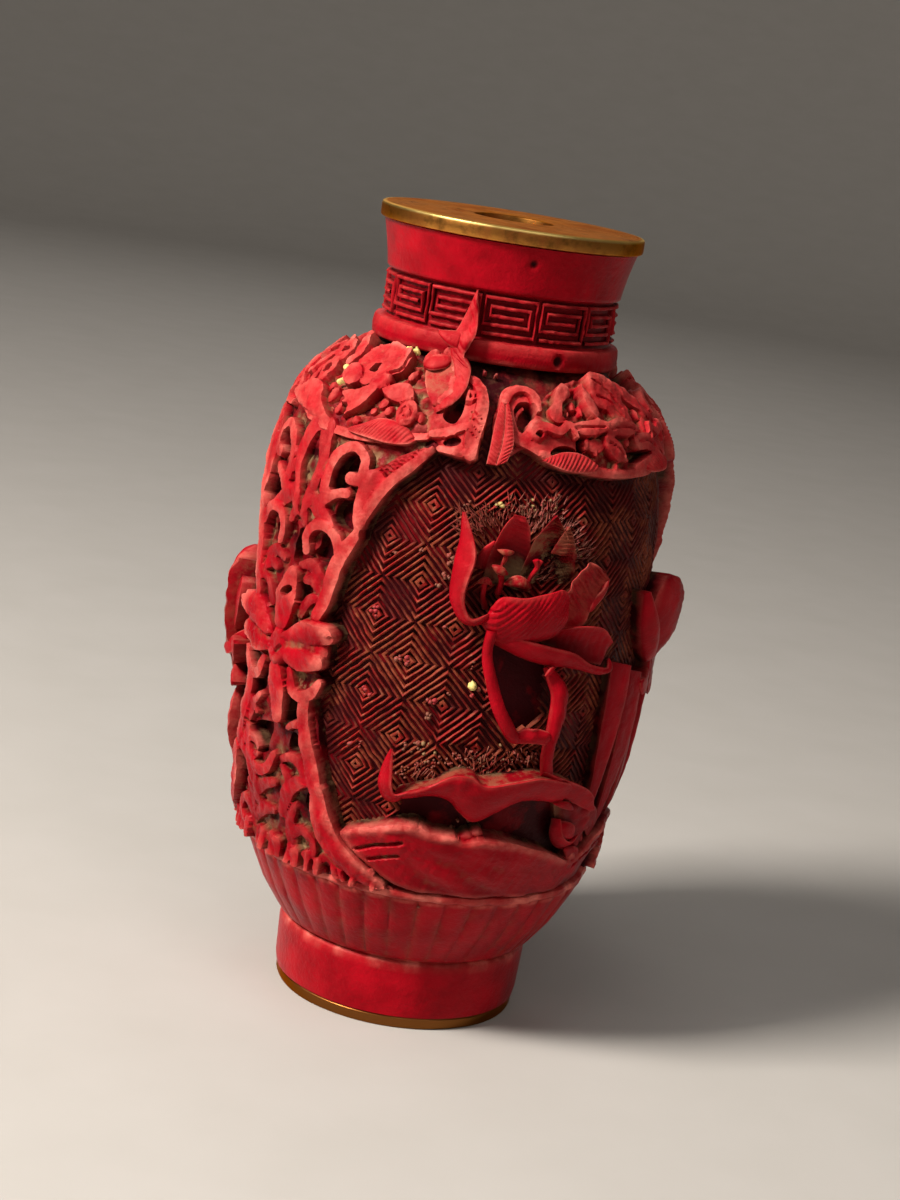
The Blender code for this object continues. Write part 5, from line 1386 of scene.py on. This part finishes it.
def lotus_bloom(name, turn):
    """The open bloom: outer petals curling off the wall, a hatched front petal, and its small heart."""
    t = {"turn": turn}
    heart = {"gloss": 0.6, "dust": 0.35, "frill": 0.2, **t}
    parts = [
        # the narrow petal at the left, rolled towards the light
        sheet([(-12.95, 48.7, 1.5), (-12.75, 47.0, 1.1), (-12.95, 45.2, 0.9), (-13.0, 43.2, 0.9),
            (-12.85, 41.6, 1.0), (-12.1, 40.3, 1.1), (-11.2, 39.7, 1.2), (-9.8, 39.7, 1.2)],
            [(-12.75, 48.75, 1.7), (-11.9, 47.0, 2.3), (-11.4, 45.4, 2.8), (-11.65, 43.6, 2.9),
            (-11.8, 42.2, 2.7), (-11.55, 41.0, 2.5), (-10.9, 40.25, 2.4), (-9.7, 40.9, 2.3)], thick=0.45,
            belly=0.25, rows=44, seed=3, **t),
        # back petals
        sheet([(-10.4, 43.0, 0.3), (-10.2, 45.2, 0.8), (-9.8, 47.0, 1.5), (-9.4, 48.2, 2.0),
            (-8.9, 49.0, 2.3)],
            [(-6.0, 42.6, 0.3), (-6.3, 44.8, 0.6), (-6.9, 46.8, 1.1), (-7.3, 48.1, 1.7), (-7.9, 48.95, 2.2)],
            thick=0.5, belly=-0.35, rows=44, columns=17, hatch=(0.42, 0.08, 0.25), seed=5, **t),
        sheet([(-7.5, 43.2, 0.3), (-7.2, 44.6, 0.7), (-6.9, 46.2, 1.2), (-6.7, 47.2, 1.5), (-6.2, 48.1, 1.8),
            (-5.7, 48.9, 2.1), (-5.25, 49.3, 2.2)],
            [(-2.2, 43.6, 0.4), (-2.3, 44.6, 0.8), (-2.5, 45.6, 1.2), (-2.8, 46.6, 1.5), (-3.7, 47.3, 1.7),
            (-4.3, 48.2, 1.9), (-5.15, 49.25, 2.15)], thick=0.45, belly=-0.75, rows=70, columns=25,
            hatch=(0.42, 0.16, -0.5), gloss=0.6, seed=6, frill=0.22, dust=0.5, **t),
        sheet([(-5.0, 46.2, 1.2), (-4.7, 47.2, 1.6), (-4.4, 47.9, 1.8), (-4.05, 48.5, 1.95)],
            [(-2.7, 45.8, 1.2), (-2.9, 46.7, 1.5), (-3.3, 47.6, 1.7), (-3.9, 48.5, 1.9)], belly=-0.1,
            rows=34, columns=13, hatch=(0.42, 0.15, -0.4), gloss=0.6, seed=8, frill=0.2, dust=0.35, **t),
        sheet([(-11.3, 44.2, 0.4), (-11.0, 45.8, 1.2), (-10.1, 46.8, 1.6)],
            [(-10.3, 44.2, 0.5), (-10.15, 45.7, 1.2), (-9.95, 46.75, 1.6)], thick=0.35, rows=18, seed=9,
            **t),
        # heart of the bloom
        leaf([(-9.7, 46.1, 1.6), (-9.0, 46.0, 1.9), (-8.35, 46.1, 1.7)], 0.55, rows=12, columns=7, seed=11,
            **heart),
        leaf([(-9.0, 46.0, 1.7), (-8.95, 45.4, 1.5), (-9.1, 44.6, 1.2)], 0.4, rows=10, columns=5, seed=12,
            **heart),
        leaf([(-9.95, 44.8, 1.6), (-9.3, 44.5, 1.9), (-8.6, 44.2, 1.7)], 0.75, rows=12, columns=7, belly=0.1,
            seed=13, **heart),
        leaf([(-10.95, 43.1, 1.4), (-10.3, 43.5, 1.8), (-9.7, 43.2, 1.6)], 0.6, rows=12, columns=7, seed=14,
            **heart),
        rod([(-10.3, 43.3, 1.6), (-10.2, 42.0, 1.0), (-9.8, 41.0, 0.6)], [0.25, 0.22, 0.3], seed=15, **t),
        rod([(-9.2, 44.4, 1.6), (-8.9, 43.4, 1.2), (-9.0, 42.4, 0.9)], [0.3, 0.22, 0.3], seed=16, **t),
        rod([(-6.45, 45.6, 1.7), (-6.2, 45.0, 1.6), (-6.5, 44.2, 1.3), (-6.6, 43.5, 1.0)],
            [0.26, 0.2, 0.16, 0.2], gloss=0.2, seed=17, **t),
        rod([(-5.9, 45.6, 1.6), (-6.15, 45.1, 1.6)], [0.2, 0.18], gloss=0.2, seed=18, **t),
        leaf([(-8.7, 43.3, 1.4), (-7.6, 43.7, 1.7), (-6.4, 43.2, 1.5)], 1.0, rows=14, belly=0.1, gloss=0.1,
            dust=0.5, frill=0.2, seed=19, **t),
        # the hatched front petal, its rim turned out
        sheet([(-10.0, 39.7, 1.3), (-8.8, 38.6, 1.5), (-7.0, 38.3, 1.6), (-5.2, 38.8, 1.7),
            (-3.8, 39.3, 1.7), (-2.9, 40.2, 1.6)],
            [(-9.6, 41.4, 2.2), (-8.9, 42.4, 2.6), (-7.2, 42.6, 2.9), (-5.6, 43.1, 3.1), (-4.4, 43.55, 3.1),
            (-3.6, 43.1, 2.9)], thick=0.5, belly=0.35, rows=90, columns=19, hatch=(0.5, 0.13, -0.75),
            seed=21, frill=0.1, gloss=0.95, **t),
        # right petals
        sheet([(-3.3, 39.9, 1.3), (-1.2, 40.2, 1.5), (-0.7, 41.8, 1.85), (0.1, 43.2, 2.1), (0.5, 44.3, 2.2)],
            [(-3.7, 41.6, 1.8), (-3.4, 43.3, 2.05), (-2.6, 44.9, 2.3), (-1.6, 45.7, 2.3), (-0.2, 45.0, 2.3)],
            thick=0.38, belly=-0.35, rows=80, columns=19, hatch=(0.45, 0.14, 0.25), gloss=0.3, seed=23,
            frill=0.24, dust=0.1, **t),
        leaf([(-0.9, 41.5, 1.75), (-0.1, 43.0, 2.1), (0.35, 44.3, 2.25)], 0.7, rows=30, columns=7, seed=24,
            gloss=0.2, frill=0.2, **t),
        sheet([(-4.8, 38.7, 0.6), (-2.6, 37.7, 0.7), (-0.2, 37.0, 0.9), (1.9, 36.6, 1.3)],
            [(-4.4, 39.6, 1.7), (-2.0, 40.25, 2.1), (0.6, 40.1, 2.2), (2.2, 38.8, 2.0)], belly=-0.45,
            rows=44, columns=17, hatch=(0.7, 0.06, 0.3), seed=25, **t),
        sheet([(-8.7, 38.1, 0.9), (-6.6, 37.3, 1.0), (-4.4, 36.7, 1.0), (-1.8, 36.5, 1.2), (0.6, 36.1, 1.5),
            (2.0, 35.9, 1.9)],
            [(-8.5, 39.2, 1.7), (-6.3, 38.9, 2.2), (-4.2, 38.5, 2.35), (-2.0, 38.0, 2.38),
            (-0.2, 37.0, 2.25), (1.9, 36.5, 2.2)], thick=0.45, belly=0.2, rows=48, columns=11, seed=27, **t),
        leaf([(1.0, 36.3, 2.1), (1.9, 36.5, 2.3), (1.9, 37.4, 2.1)], 0.6, rows=14, columns=7, seed=28, **t),
        # stalks
        rod([(-9.2, 39.4, 1.9), (-9.3, 37.6, 2.0), (-8.8, 35.6, 2.2), (-7.9, 33.4, 2.3), (-6.9, 31.6, 2.3),
            (-6.0, 30.5, 2.1), (-5.2, 30.3, 1.8)], [0.45, 0.42, 0.48, 0.52, 0.6, 0.55, 0.4], flat=0.9,
            seed=31, **t),
        sheet([(-4.1, 36.4, 1.3), (-3.6, 35.2, 1.6), (-3.15, 34.0, 1.8), (-3.05, 32.0, 1.8),
            (-3.05, 30.2, 1.75), (-3.0, 28.6, 1.7), (-2.5, 26.5, 1.6)],
            [(-3.4, 36.7, 1.2), (-2.3, 35.5, 1.5), (-1.65, 34.2, 1.7), (-1.55, 32.4, 1.7),
            (-1.85, 30.6, 1.65), (-1.9, 29.0, 1.6), (-1.1, 26.5, 1.4)], thick=0.75, belly=0.35, rows=50,
            columns=13, frill=0.12, gloss=0.9, seed=32, **t),
        leaf([(-4.15, 35.9, 1.9), (-3.85, 36.4, 2.1), (-3.4, 36.75, 1.8)], 0.42, rows=12, columns=7,
            gloss=0.3, seed=34, **t),
        leaf([(-5.9, 30.4, 2.0), (-4.4, 30.7, 2.2), (-2.5, 30.3, 2.0)], 1.3, rows=18, frill=0.3, gloss=0.5,
            blunt=0.75, seed=33, **t),
    ]
    gather(name, parts)


def lotus_leaf(name, turn):
    """The big leaf under the bloom, seen edge-on: rolled rim, curl at its left, folds at its right."""
    t = {"turn": turn}
    parts = [
        sheet([(-15.3, 23.2, 1.0), (-13.4, 24.1, 1.2), (-11.6, 24.5, 1.3), (-10.2, 24.1, 1.3),
            (-9.2, 23.2, 1.3), (-8.1, 22.5, 1.4), (-7.2, 22.7, 1.4), (-5.8, 23.5, 1.3), (-4.0, 24.4, 1.2),
            (-2.0, 24.5, 1.2), (0.4, 24.0, 1.2)],
            [(-15.0, 24.2, 2.3), (-13.2, 25.1, 2.6), (-11.8, 25.9, 2.7), (-10.8, 26.7, 2.8),
            (-9.8, 27.0, 2.85), (-8.7, 26.8, 2.8), (-7.9, 26.3, 2.75), (-6.8, 26.4, 2.8), (-4.8, 26.8, 2.7),
            (-2.6, 27.0, 2.5), (0.8, 26.2, 2.2)], thick=0.6, belly=0.15, rows=80, columns=13, seed=41,
            frill=0.06, gloss=0.85, **t),
        sheet([(-15.0, 24.1, 2.2), (-13.2, 24.8, 2.5), (-11.8, 25.4, 2.6), (-10.8, 26.2, 2.7),
            (-9.8, 26.7, 2.75), (-8.7, 26.7, 2.7), (-7.9, 26.2, 2.65), (-6.8, 26.3, 2.7), (-4.8, 26.7, 2.6),
            (-2.6, 26.9, 2.4), (0.8, 26.1, 2.1)],
            [(-14.8, 24.3, 0.1), (-13.1, 25.0, 0.1), (-11.6, 25.7, 0.1), (-10.6, 26.4, 0.1),
            (-9.7, 26.8, 0.1), (-8.7, 26.8, 0.1), (-7.9, 26.4, 0.1), (-6.8, 26.5, 0.1), (-4.8, 26.8, 0.1),
            (-2.6, 27.0, 0.1), (0.8, 26.3, 0.1)], thick=0.3, belly=-0.1, rows=60, seed=42, gloss=0.0,
            dust=0.8, **t),
        sheet([(-15.6, 28.1, 2.0), (-16.1, 26.6, 1.7), (-16.45, 25.0, 1.3), (-16.1, 23.7, 1.1),
            (-15.3, 23.2, 1.0), (-14.4, 23.6, 1.1)],
            [(-15.5, 28.15, 2.1), (-15.25, 26.6, 2.6), (-15.1, 25.4, 2.7), (-14.95, 24.7, 2.6),
            (-14.7, 24.4, 2.5), (-14.0, 24.6, 2.5)], belly=0.2, rows=40, columns=11, seed=43, **t),
        # folds at the right
        sheet([(-3.0, 25.9, 1.2), (-1.4, 25.3, 1.3), (0.6, 24.6, 1.4), (2.6, 23.8, 1.5), (4.8, 22.9, 1.6)],
            [(-2.6, 27.5, 2.1), (-0.3, 26.7, 2.3), (1.4, 26.1, 2.4), (3.2, 25.1, 2.3), (5.1, 23.1, 1.8)],
            thick=0.35, belly=-0.12, rows=50, columns=15, seed=44, frill=0.2, **t),
        sheet([(0.4, 24.2, 0.4), (1.2, 22.2, 0.5), (2.4, 20.4, 0.5), (3.4, 19.0, 0.5)],
            [(4.8, 23.2, 1.2), (5.6, 21.9, 1.2), (6.2, 20.2, 1.0), (6.4, 18.6, 0.8)], thick=0.35, rows=40,
            columns=15, seed=50, frill=0.3, root=1.0, gloss=0.9, **t),
        sheet([(0.6, 22.4, 0.7), (0.7, 21.0, 0.8), (1.6, 19.8, 0.9), (3.2, 19.2, 0.9), (4.6, 19.6, 1.0)],
            [(1.2, 22.5, 1.3), (1.6, 21.2, 1.6), (2.4, 20.5, 1.7), (3.4, 20.3, 1.6), (4.3, 20.7, 1.4)],
            thick=0.35, belly=-0.1, rows=30, columns=11, seed=45, **t),
        leaf([(0.7, 21.6, 0.9), (2.2, 21.4, 1.5), (3.7, 20.5, 1.3)], 1.5, cup=-0.1, blunt=0.5, rows=30,
            seed=46, frill=0.2, **t),
        leaf([(4.6, 23.6, 1.0), (6.4, 21.6, 1.1), (7.8, 19.6, 0.8)], 1.9, belly=-0.15, rows=26, seed=49,
            **t),
        leaf([(-0.4, 24.2, 1.4), (1.0, 24.0, 1.6), (2.2, 23.4, 1.4)], 0.7, rows=18, seed=47, **t),
        leaf([(3.0, 19.4, 1.2), (5.0, 18.4, 1.2), (6.8, 16.8, 0.9)], 1.5, rows=20, seed=48, **t),
    ]
    gather(name, parts)


def side_bloom(name, turn, drop):
    """The bloom at the right of a panel with the tall blades beside its stem, lower on the back."""
    t = {"turn": turn, "drop": drop, "root": 0.66}
    b = {"turn": turn, "root": 0.8}
    ribs = (0.5, 0.05, 0.3)
    parts = [
        # the cupped middle petal, its outer edge standing off the wall
        sheet([(12.7, 35.8, 0.6), (11.5, 37.0, 0.8), (10.5, 38.8, 0.9), (10.1, 40.6, 1.1), (10.4, 41.8, 1.3),
            (11.2, 42.7, 1.5), (12.6, 43.2, 1.6)],
            [(13.3, 35.4, 1.0), (14.6, 36.2, 1.9), (15.5, 37.6, 2.8), (16.0, 39.4, 3.15), (16.1, 41.0, 3.2),
            (15.3, 42.4, 2.7), (13.2, 43.3, 1.8)], thick=0.5, belly=0.5, rows=44, columns=17, hatch=ribs,
            gloss=0.35, seed=51, frill=0.08, **t),
        # the narrow petal at its left, turned to the light
        sheet([(11.9, 35.2, 0.8), (9.6, 36.6, 0.9), (7.6, 39.4, 1.0), (7.0, 42.4, 1.2)],
            [(12.2, 35.9, 1.6), (10.6, 37.4, 2.1), (9.0, 39.8, 2.3), (7.5, 42.6, 1.7)], belly=0.2, rows=36,
            columns=11, seed=52, **t),
        # petals at its right
        leaf([(14.0, 35.2, 1.4), (16.6, 37.2, 2.0), (18.4, 39.6, 2.1), (18.6, 41.6, 2.0)], 2.6, rows=34,
            columns=13, blunt=0.4, hatch=ribs, seed=53, **t),
        leaf([(14.4, 34.6, 1.3), (17.4, 34.6, 1.8), (20.2, 36.0, 2.3)], 2.6, rows=30, columns=11, blunt=0.4,
            seed=54, **t),
        leaf([(13.6, 34.6, 1.3), (16.0, 32.6, 1.7), (18.8, 31.8, 2.0)], 2.2, rows=30, columns=11, blunt=0.4,
            seed=55, **t),
        leaf([(12.0, 34.6, 1.3), (10.4, 33.6, 1.6), (9.0, 34.2, 1.6)], 1.6, rows=26, columns=11, blunt=0.4,
            seed=56, **t),
        # stem and blades
        leaf([(13.2, 36.0 - drop, 1.1), (12.8, 31.8 - drop, 1.0), (12.6, 26.0, 0.9), (12.2, 20.5, 0.5)], 1.2,
            rows=40, belly=0.3, blunt=0.8, seed=57, **b),
        sheet([(3.9, 36.6, 0.9), (4.0, 33.0, 1.0), (4.2, 29.0, 1.0), (4.6, 25.0, 1.0), (5.1, 20.6, 0.9)],
            [(6.3, 36.1, 1.5), (6.2, 33.0, 1.6), (5.9, 29.0, 1.5), (5.6, 25.0, 1.3), (5.3, 20.6, 0.9)],
            thick=0.4, belly=-0.1, rows=44, columns=11, gloss=0.8, seed=58, **b),
        sheet([(7.4, 35.4, 0.9), (7.3, 31.0, 1.0), (7.2, 26.0, 1.1), (7.4, 20.0, 0.9)],
            [(9.3, 35.0, 1.4), (9.4, 31.0, 1.6), (8.9, 26.0, 1.4), (8.0, 20.0, 0.9)], thick=0.4, belly=-0.1,
            rows=44, columns=11, seed=59, **b),
        leaf([(11.0, 31.0, 0.9), (10.8, 26.6, 1.1), (10.6, 21.6, 0.9)], 1.3, rows=30, seed=60, **b),
        leaf([(13.4, 20.4, 0.3), (15.0, 23.4, 0.7), (15.4, 27.8, 1.0)], 2.0, rows=30, blunt=0.35, seed=61,
            **b),
        leaf([(16.6, 18.4, 0.2), (17.4, 20.6, 0.5), (18.8, 22.6, 0.6)], 1.5, rows=22, seed=62, **b),
    ]
    if drop:
        # on the back: the tall petal that shows beyond the border, a small one across its foot, a leaf below
        parts += [
            # The tall petal's dust share and full gloss darken it with painted shade, besides its dust.
            sheet([(14.4, 31.4, 0.6), (14.6, 34.0, 1.2), (15.0, 38.0, 1.6), (15.6, 42.5, 1.6)],
                [(16.6, 31.4, 1.3), (17.4, 33.4, 2.0), (17.6, 36.7, 3.0), (17.4, 39.5, 3.2),
                (17.2, 41.4, 3.15), (16.6, 42.7, 2.4)], thick=0.4, belly=0.3, rows=60, columns=15, seed=63,
                gloss=1.0, frill=0.15, dust=0.3, **t),
            sheet([(20.0, 32.9, 0.8), (18.6, 32.1, 1.6), (17.4, 31.1, 2.4), (16.4, 30.3, 2.8)],
                [(19.6, 31.2, 1.2), (18.4, 30.2, 2.0), (17.4, 29.6, 2.6), (16.3, 29.9, 2.9)], thick=0.35,
                rows=30, seed=64, gloss=0.5, **b),
            sheet([(14.5, 26.9, 0.9), (14.4, 23.4, 1.1), (14.7, 19.6, 0.9), (15.2, 16.8, 0.4)],
                [(17.5, 26.7, 1.5), (18.0, 24.6, 2.0), (17.8, 22.0, 2.05), (17.3, 19.4, 1.5),
                (17.0, 17.0, 0.6)], thick=0.4, belly=0.1, rows=50, columns=11, seed=65, frill=0.15,
                gloss=0.4, **b),
        ]
    gather(name, parts)


def rock_bank(name, middle, seed):
    """The low bank of rock under the lotus, its top edge broken and its face scored by long cuts."""
    slab = Slab(middle, -19.6, 19.6, 14.5, 23.0)
    top = [(-19.4, 19.2), (-17.6, 20.4), (-16.0, 20.9), (-14.4, 21.2), (-13.0, 21.75), (-12.0, 21.35),
        (-10.8, 21.1), (-9.5, 21.15), (-8.4, 20.6), (-7.0, 21.0), (-4.5, 20.9), (-2.0, 20.25), (0.0, 19.7),
        (2.0, 18.9), (4.0, 18.2), (6.0, 18.6), (9.0, 20.2), (12.0, 20.9), (14.6, 20.6), (17.0, 19.0),
        (18.6, 17.2)]
    foot_edge = [(17.0, 15.0), (10.0, 14.9), (3.0, 14.9), (-3.0, 14.9), (-8.0, 14.9), (-13.0, 15.2),
        (-16.0, 16.5)]
    slab.area(top + foot_edge, lambda x, y: 1.2 + 0.16 * (y - up(15.5)) + 0.12 * wobble(x, y, 3.4, seed)
        - 0.1 * np.clip(x - middle - 4.0, 0, 10), rounding=0.25, count=150)
    slab.line([(-18.6, 19.4), (-16.2, 20.5), (-13.2, 21.3), (-11.2, 20.8), (-9.4, 20.8)],
        [0.25, 0.45, 0.5, 0.4],
        [1.9, 2.3, 2.2], crown=0.25)
    slab.score([(-17.7, 18.4), (-15.8, 19.2), (-13.7, 19.9)], 0.22, 0.4)
    slab.score([(-16.5, 17.7), (-15.2, 18.1), (-13.9, 18.5)], 0.2, 0.35)
    slab.score([(5.0, 17.6), (7.5, 18.3), (10.5, 18.9)], 0.2, 0.3)
    slab.score([(9.0, 17.2), (12.0, 18.0), (14.5, 18.0)], 0.2, 0.3)
    for x, z, size in ((-8.0, 20.7, 0.9), (-7.2, 21.3, 0.6), (4.4, 18.4, 0.8)):
        slab.area([(x - size, z), (x, z + 0.8 * size), (x + size, z), (x, z - 0.8 * size)], 1.5,
            rounding=0.4)
    slab.finish(name, 0.95, shake=0.05, seed=seed)


for suffix, turn, drop in (("front", 0.0, 0.0), ("back", 180.0, 4.5)):
    rock_bank(f"rock_bank_{suffix}", math.radians(turn) * WALL_RADIUS, 80 + int(turn))
    lotus_bloom(f"lotus_bloom_{suffix}", turn)
    lotus_leaf(f"lotus_leaf_{suffix}", turn)
    side_bloom(f"side_bloom_{suffix}", turn, drop)


# ---- Crumbs: beads of lacquer left by the knife, and dry pale crumbs and dust that have lodged in the
# carving. They cling to the ground and to the tops of the lappets.

# Dry crumbs: matt, from cinnabar red through beige to pale yellow by their own "tone".
crumb_dust, tree, shader = new_material("lodged crumbs and dust")
tone_of = add(tree, "Attribute", {"attribute_name": "tone"}).outputs["Fac"]
where = add(tree, "NewGeometry").outputs["Position"]
grain = add(tree, "TexNoise", {"Scale": 3000.0, "Detail": 3.0}, Vector=where)
first = add(tree, "MapRange", {"From Max": 0.5}, Value=tone_of)
second = add(tree, "MapRange", {"From Min": 0.5}, Value=tone_of)
red_beige = add(tree, "Mix", {6: srgb("#90141A"), 7: srgb("#6A4029")}, i0=first)
crumb_tone = add(tree, "Mix", {7: srgb("#DCC774")}, i0=second, i6=red_beige)
flecks = add(tree, "MapRange", {"From Min": 0.52, "From Max": 0.66, "To Max": 0.6}, Value=grain)
flecked = add(tree, "Mix", {7: srgb("#6E4A34")}, i0=flecks, i6=crumb_tone)
add(tree, shader, {"Roughness": 0.7}, Base_Color=flecked)

# (x, height, lift, spread, count, size, tone) of each cluster on the front
CLUSTERS = [
    (-19.3, 39.0, 0.3, 0.5, 6, 0.22, 0.0), (-16.6, 35.5, 0.3, 0.35, 4, 0.23, 0.25),
    (-15.6, 35.4, 0.35, 0.4, 5, 0.22, 0.0), (-19.1, 31.9, 0.3, 0.6, 6, 0.24, 0.0),
    (-13.3, 44.6, 0.3, 0.5, 8, 0.23, 0.3), (-13.6, 43.1, 0.3, 0.4, 6, 0.2, 0.35),
    (-14.1, 42.2, 0.3, 0.3, 3, 0.18, 0.4), (-13.0, 38.8, 0.3, 0.3, 3, 0.16, 0.3),
    (-9.75, 34.15, 0.35, 0.06, 2, 0.36, 1.0), (-9.2, 33.9, 0.35, 0.12, 3, 0.24, 0.35),
    (-10.2, 35.8, 0.3, 0.5, 5, 0.15, 0.3), (-9.5, 33.2, 0.3, 0.2, 2, 0.2, 0.1),
    (-13.0, 32.3, 0.3, 0.5, 6, 0.2, 0.0), (-11.6, 33.2, 0.3, 0.3, 3, 0.16, 0.4),
    (-13.2, 30.9, 0.3, 0.6, 5, 0.16, 0.5), (-16.0, 45.0, 0.3, 0.3, 3, 0.16, 0.4),
    (-18.4, 44.2, 0.3, 0.4, 3, 0.17, 0.3), (-14.4, 28.2, 0.3, 0.9, 9, 0.17, 0.4),
    (-12.4, 27.6, 0.3, 1.2, 12, 0.15, 0.45), (-7.0, 27.9, 0.3, 1.6, 12, 0.14, 0.5),
    (-19.4, 27.0, 0.3, 1.0, 7, 0.16, 0.2), (-9.9, 49.6, 0.4, 0.35, 6, 0.22, 0.8),
    (-7.2, 49.6, 0.3, 1.0, 14, 0.14, 0.55), (-4.6, 50.2, 0.3, 1.2, 12, 0.13, 0.5),
    (-12.6, 49.2, 0.3, 0.6, 6, 0.14, 0.4), (-2.0, 46.4, 0.3, 0.8, 9, 0.14, 0.5),
    (-5.5, 38.5, 0.9, 0.3, 5, 0.2, 0.6), (-23.4, 52.7, 0.9, 0.0, 1, 0.22, 0.1),
    (-24.4, 52.8, 0.9, 0.0, 1, 0.2, 0.1), (-22.4, 52.7, 0.9, 0.0, 1, 0.2, 0.1),
    (-13.4, 59.3, 0.4, 0.3, 3, 0.28, 0.0), (-11.8, 59.2, 0.4, 0.3, 3, 0.26, 0.15),
    (-8.0, 22.4, 0.4, 2.4, 12, 0.14, 0.4), (-29.6, 56.7, 1.75, 0.45, 7, 0.3, 1.0),
    (-29.2, 55.9, 1.5, 0.3, 4, 0.22, 0.95), (-23.9, 59.2, 1.7, 0.4, 5, 0.28, 1.0),
    (-22.7, 59.3, 1.6, 0.4, 6, 0.3, 1.0), (-9.0, 15.6, 0.4, 4.5, 20, 0.13, 0.4),
]
# dry dust crusted along the top of the big leaf
CLUSTERS += [(x, z, 0.25, 0.7, 9, 0.12, 0.3) for x, z in ((-14.6, 25.6), (-13.4, 26.2), (-12.2, 26.7),
    (-11.0, 27.2), (-9.9, 27.7), (-8.7, 27.8), (-7.5, 27.5), (-6.2, 27.6), (-5.0, 27.8), (-3.8, 27.9),
    (-2.6, 27.9))]


def bead(x, y, lift, size, sides=7):
    """A small uneven drop of lacquer or dirt: points and triangles of one closed lump."""
    turn = np.linspace(0, 2 * math.pi, sides, endpoint=False) + random.uniform(0, 1)
    r = size * random.uniform(0.8, 1.2, sides)
    px = np.concatenate([[x], x + 0.75 * r * np.cos(turn), x + r * np.cos(turn), [x]])
    py = np.concatenate([[y], y + 0.75 * r * np.sin(turn), y + r * np.sin(turn), [y]])
    lifts = np.repeat([lift + size * 1.1, lift + size * 0.75, lift - 0.2], [1, sides, sides + 1])
    faces = []
    for i in range(sides):
        j = (i + 1) % sides
        a, b, c, d = 1 + i, 1 + j, 1 + sides + i, 1 + sides + j
        faces += [(0, a, b), (a, c, d), (a, d, b), (2 * sides + 1, d, c)]
    return on_wall(px, py, lifts), np.array(faces)


random = np.random.default_rng(17)
lumps = []
for shift, share in ((0.0, 1.0), (HALF_ROUND, 0.4)):
    for x, z, lift, reach, count, size, shade in CLUSTERS:
        if shift and shade > 0.7:
            continue
        for _ in range(max(1, int(count * share))):
            away = reach * random.uniform(0, 1) ** 0.7
            angle = random.uniform(0, 2 * math.pi)
            px, py = x + shift + away * math.cos(angle), up(z) + away * math.sin(angle)
            each = size * random.uniform(0.45, 1.3)
            lumps.append((*bead(px, py, lift, each), shade + random.uniform(-0.12, 0.12)))
    # fibres of dried dust standing round the bloom's upper petals: (x, height) of each root patch, its
    # reach, how many
    for x, z, reach, count in ((-12.0, 47.6, 1.4, 60), (-10.6, 48.4, 1.4, 60), (-8.0, 49.4, 1.2, 50),
            (-6.6, 48.4, 1.0, 70), (-5.0, 49.4, 1.2, 60), (-3.0, 47.6, 1.1, 60), (-1.6, 46.2, 1.0, 50),
            (-9.6, 45.4, 1.2, 40), (-5.6, 44.6, 1.3, 60), (-3.6, 45.4, 1.0, 50), (-12.6, 26.4, 0.9, 20),
            (-8.0, 27.6, 1.8, 40), (-4.0, 27.8, 1.6, 30)):
        for _ in range(int(count * share)):
            px, py = x + shift + reach * random.uniform(-1, 1), up(z + 0.8 * reach * random.uniform(-1, 1))
            way = math.atan2(py - up(42.0), px - shift + 7.6) + random.uniform(-0.5, 0.5)
            long, wide, base = random.uniform(0.3, 1.2), random.uniform(0.04, 0.09), random.uniform(0.2, 0.5)
            ox, oy = wide * math.sin(way), -wide * math.cos(way)
            points = on_wall(np.array([px + ox, px - ox, px, px + long * math.cos(way)]),
                np.array([py + oy, py - oy, py, py + long * math.sin(way)]),
                np.array([base, base, base + 2 * wide, base + random.uniform(-0.1, 0.3)]))
            lumps.append((points, np.array([(0, 1, 2), (0, 3, 1), (1, 3, 2), (2, 3, 0)]),
                random.uniform(0.14, 0.38)))
starts = np.cumsum([0] + [len(lump[0]) for lump in lumps[:-1]])
crumbs = new_piece("lodged_crumbs", np.concatenate([lump[0] for lump in lumps]),
    np.concatenate([lump[1] + start for lump, start in zip(lumps, starts)]), crumb_dust, 60.0,
    tone=np.concatenate([np.full(len(lump[0]), lump[2]) for lump in lumps]))
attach(crumbs, "root")
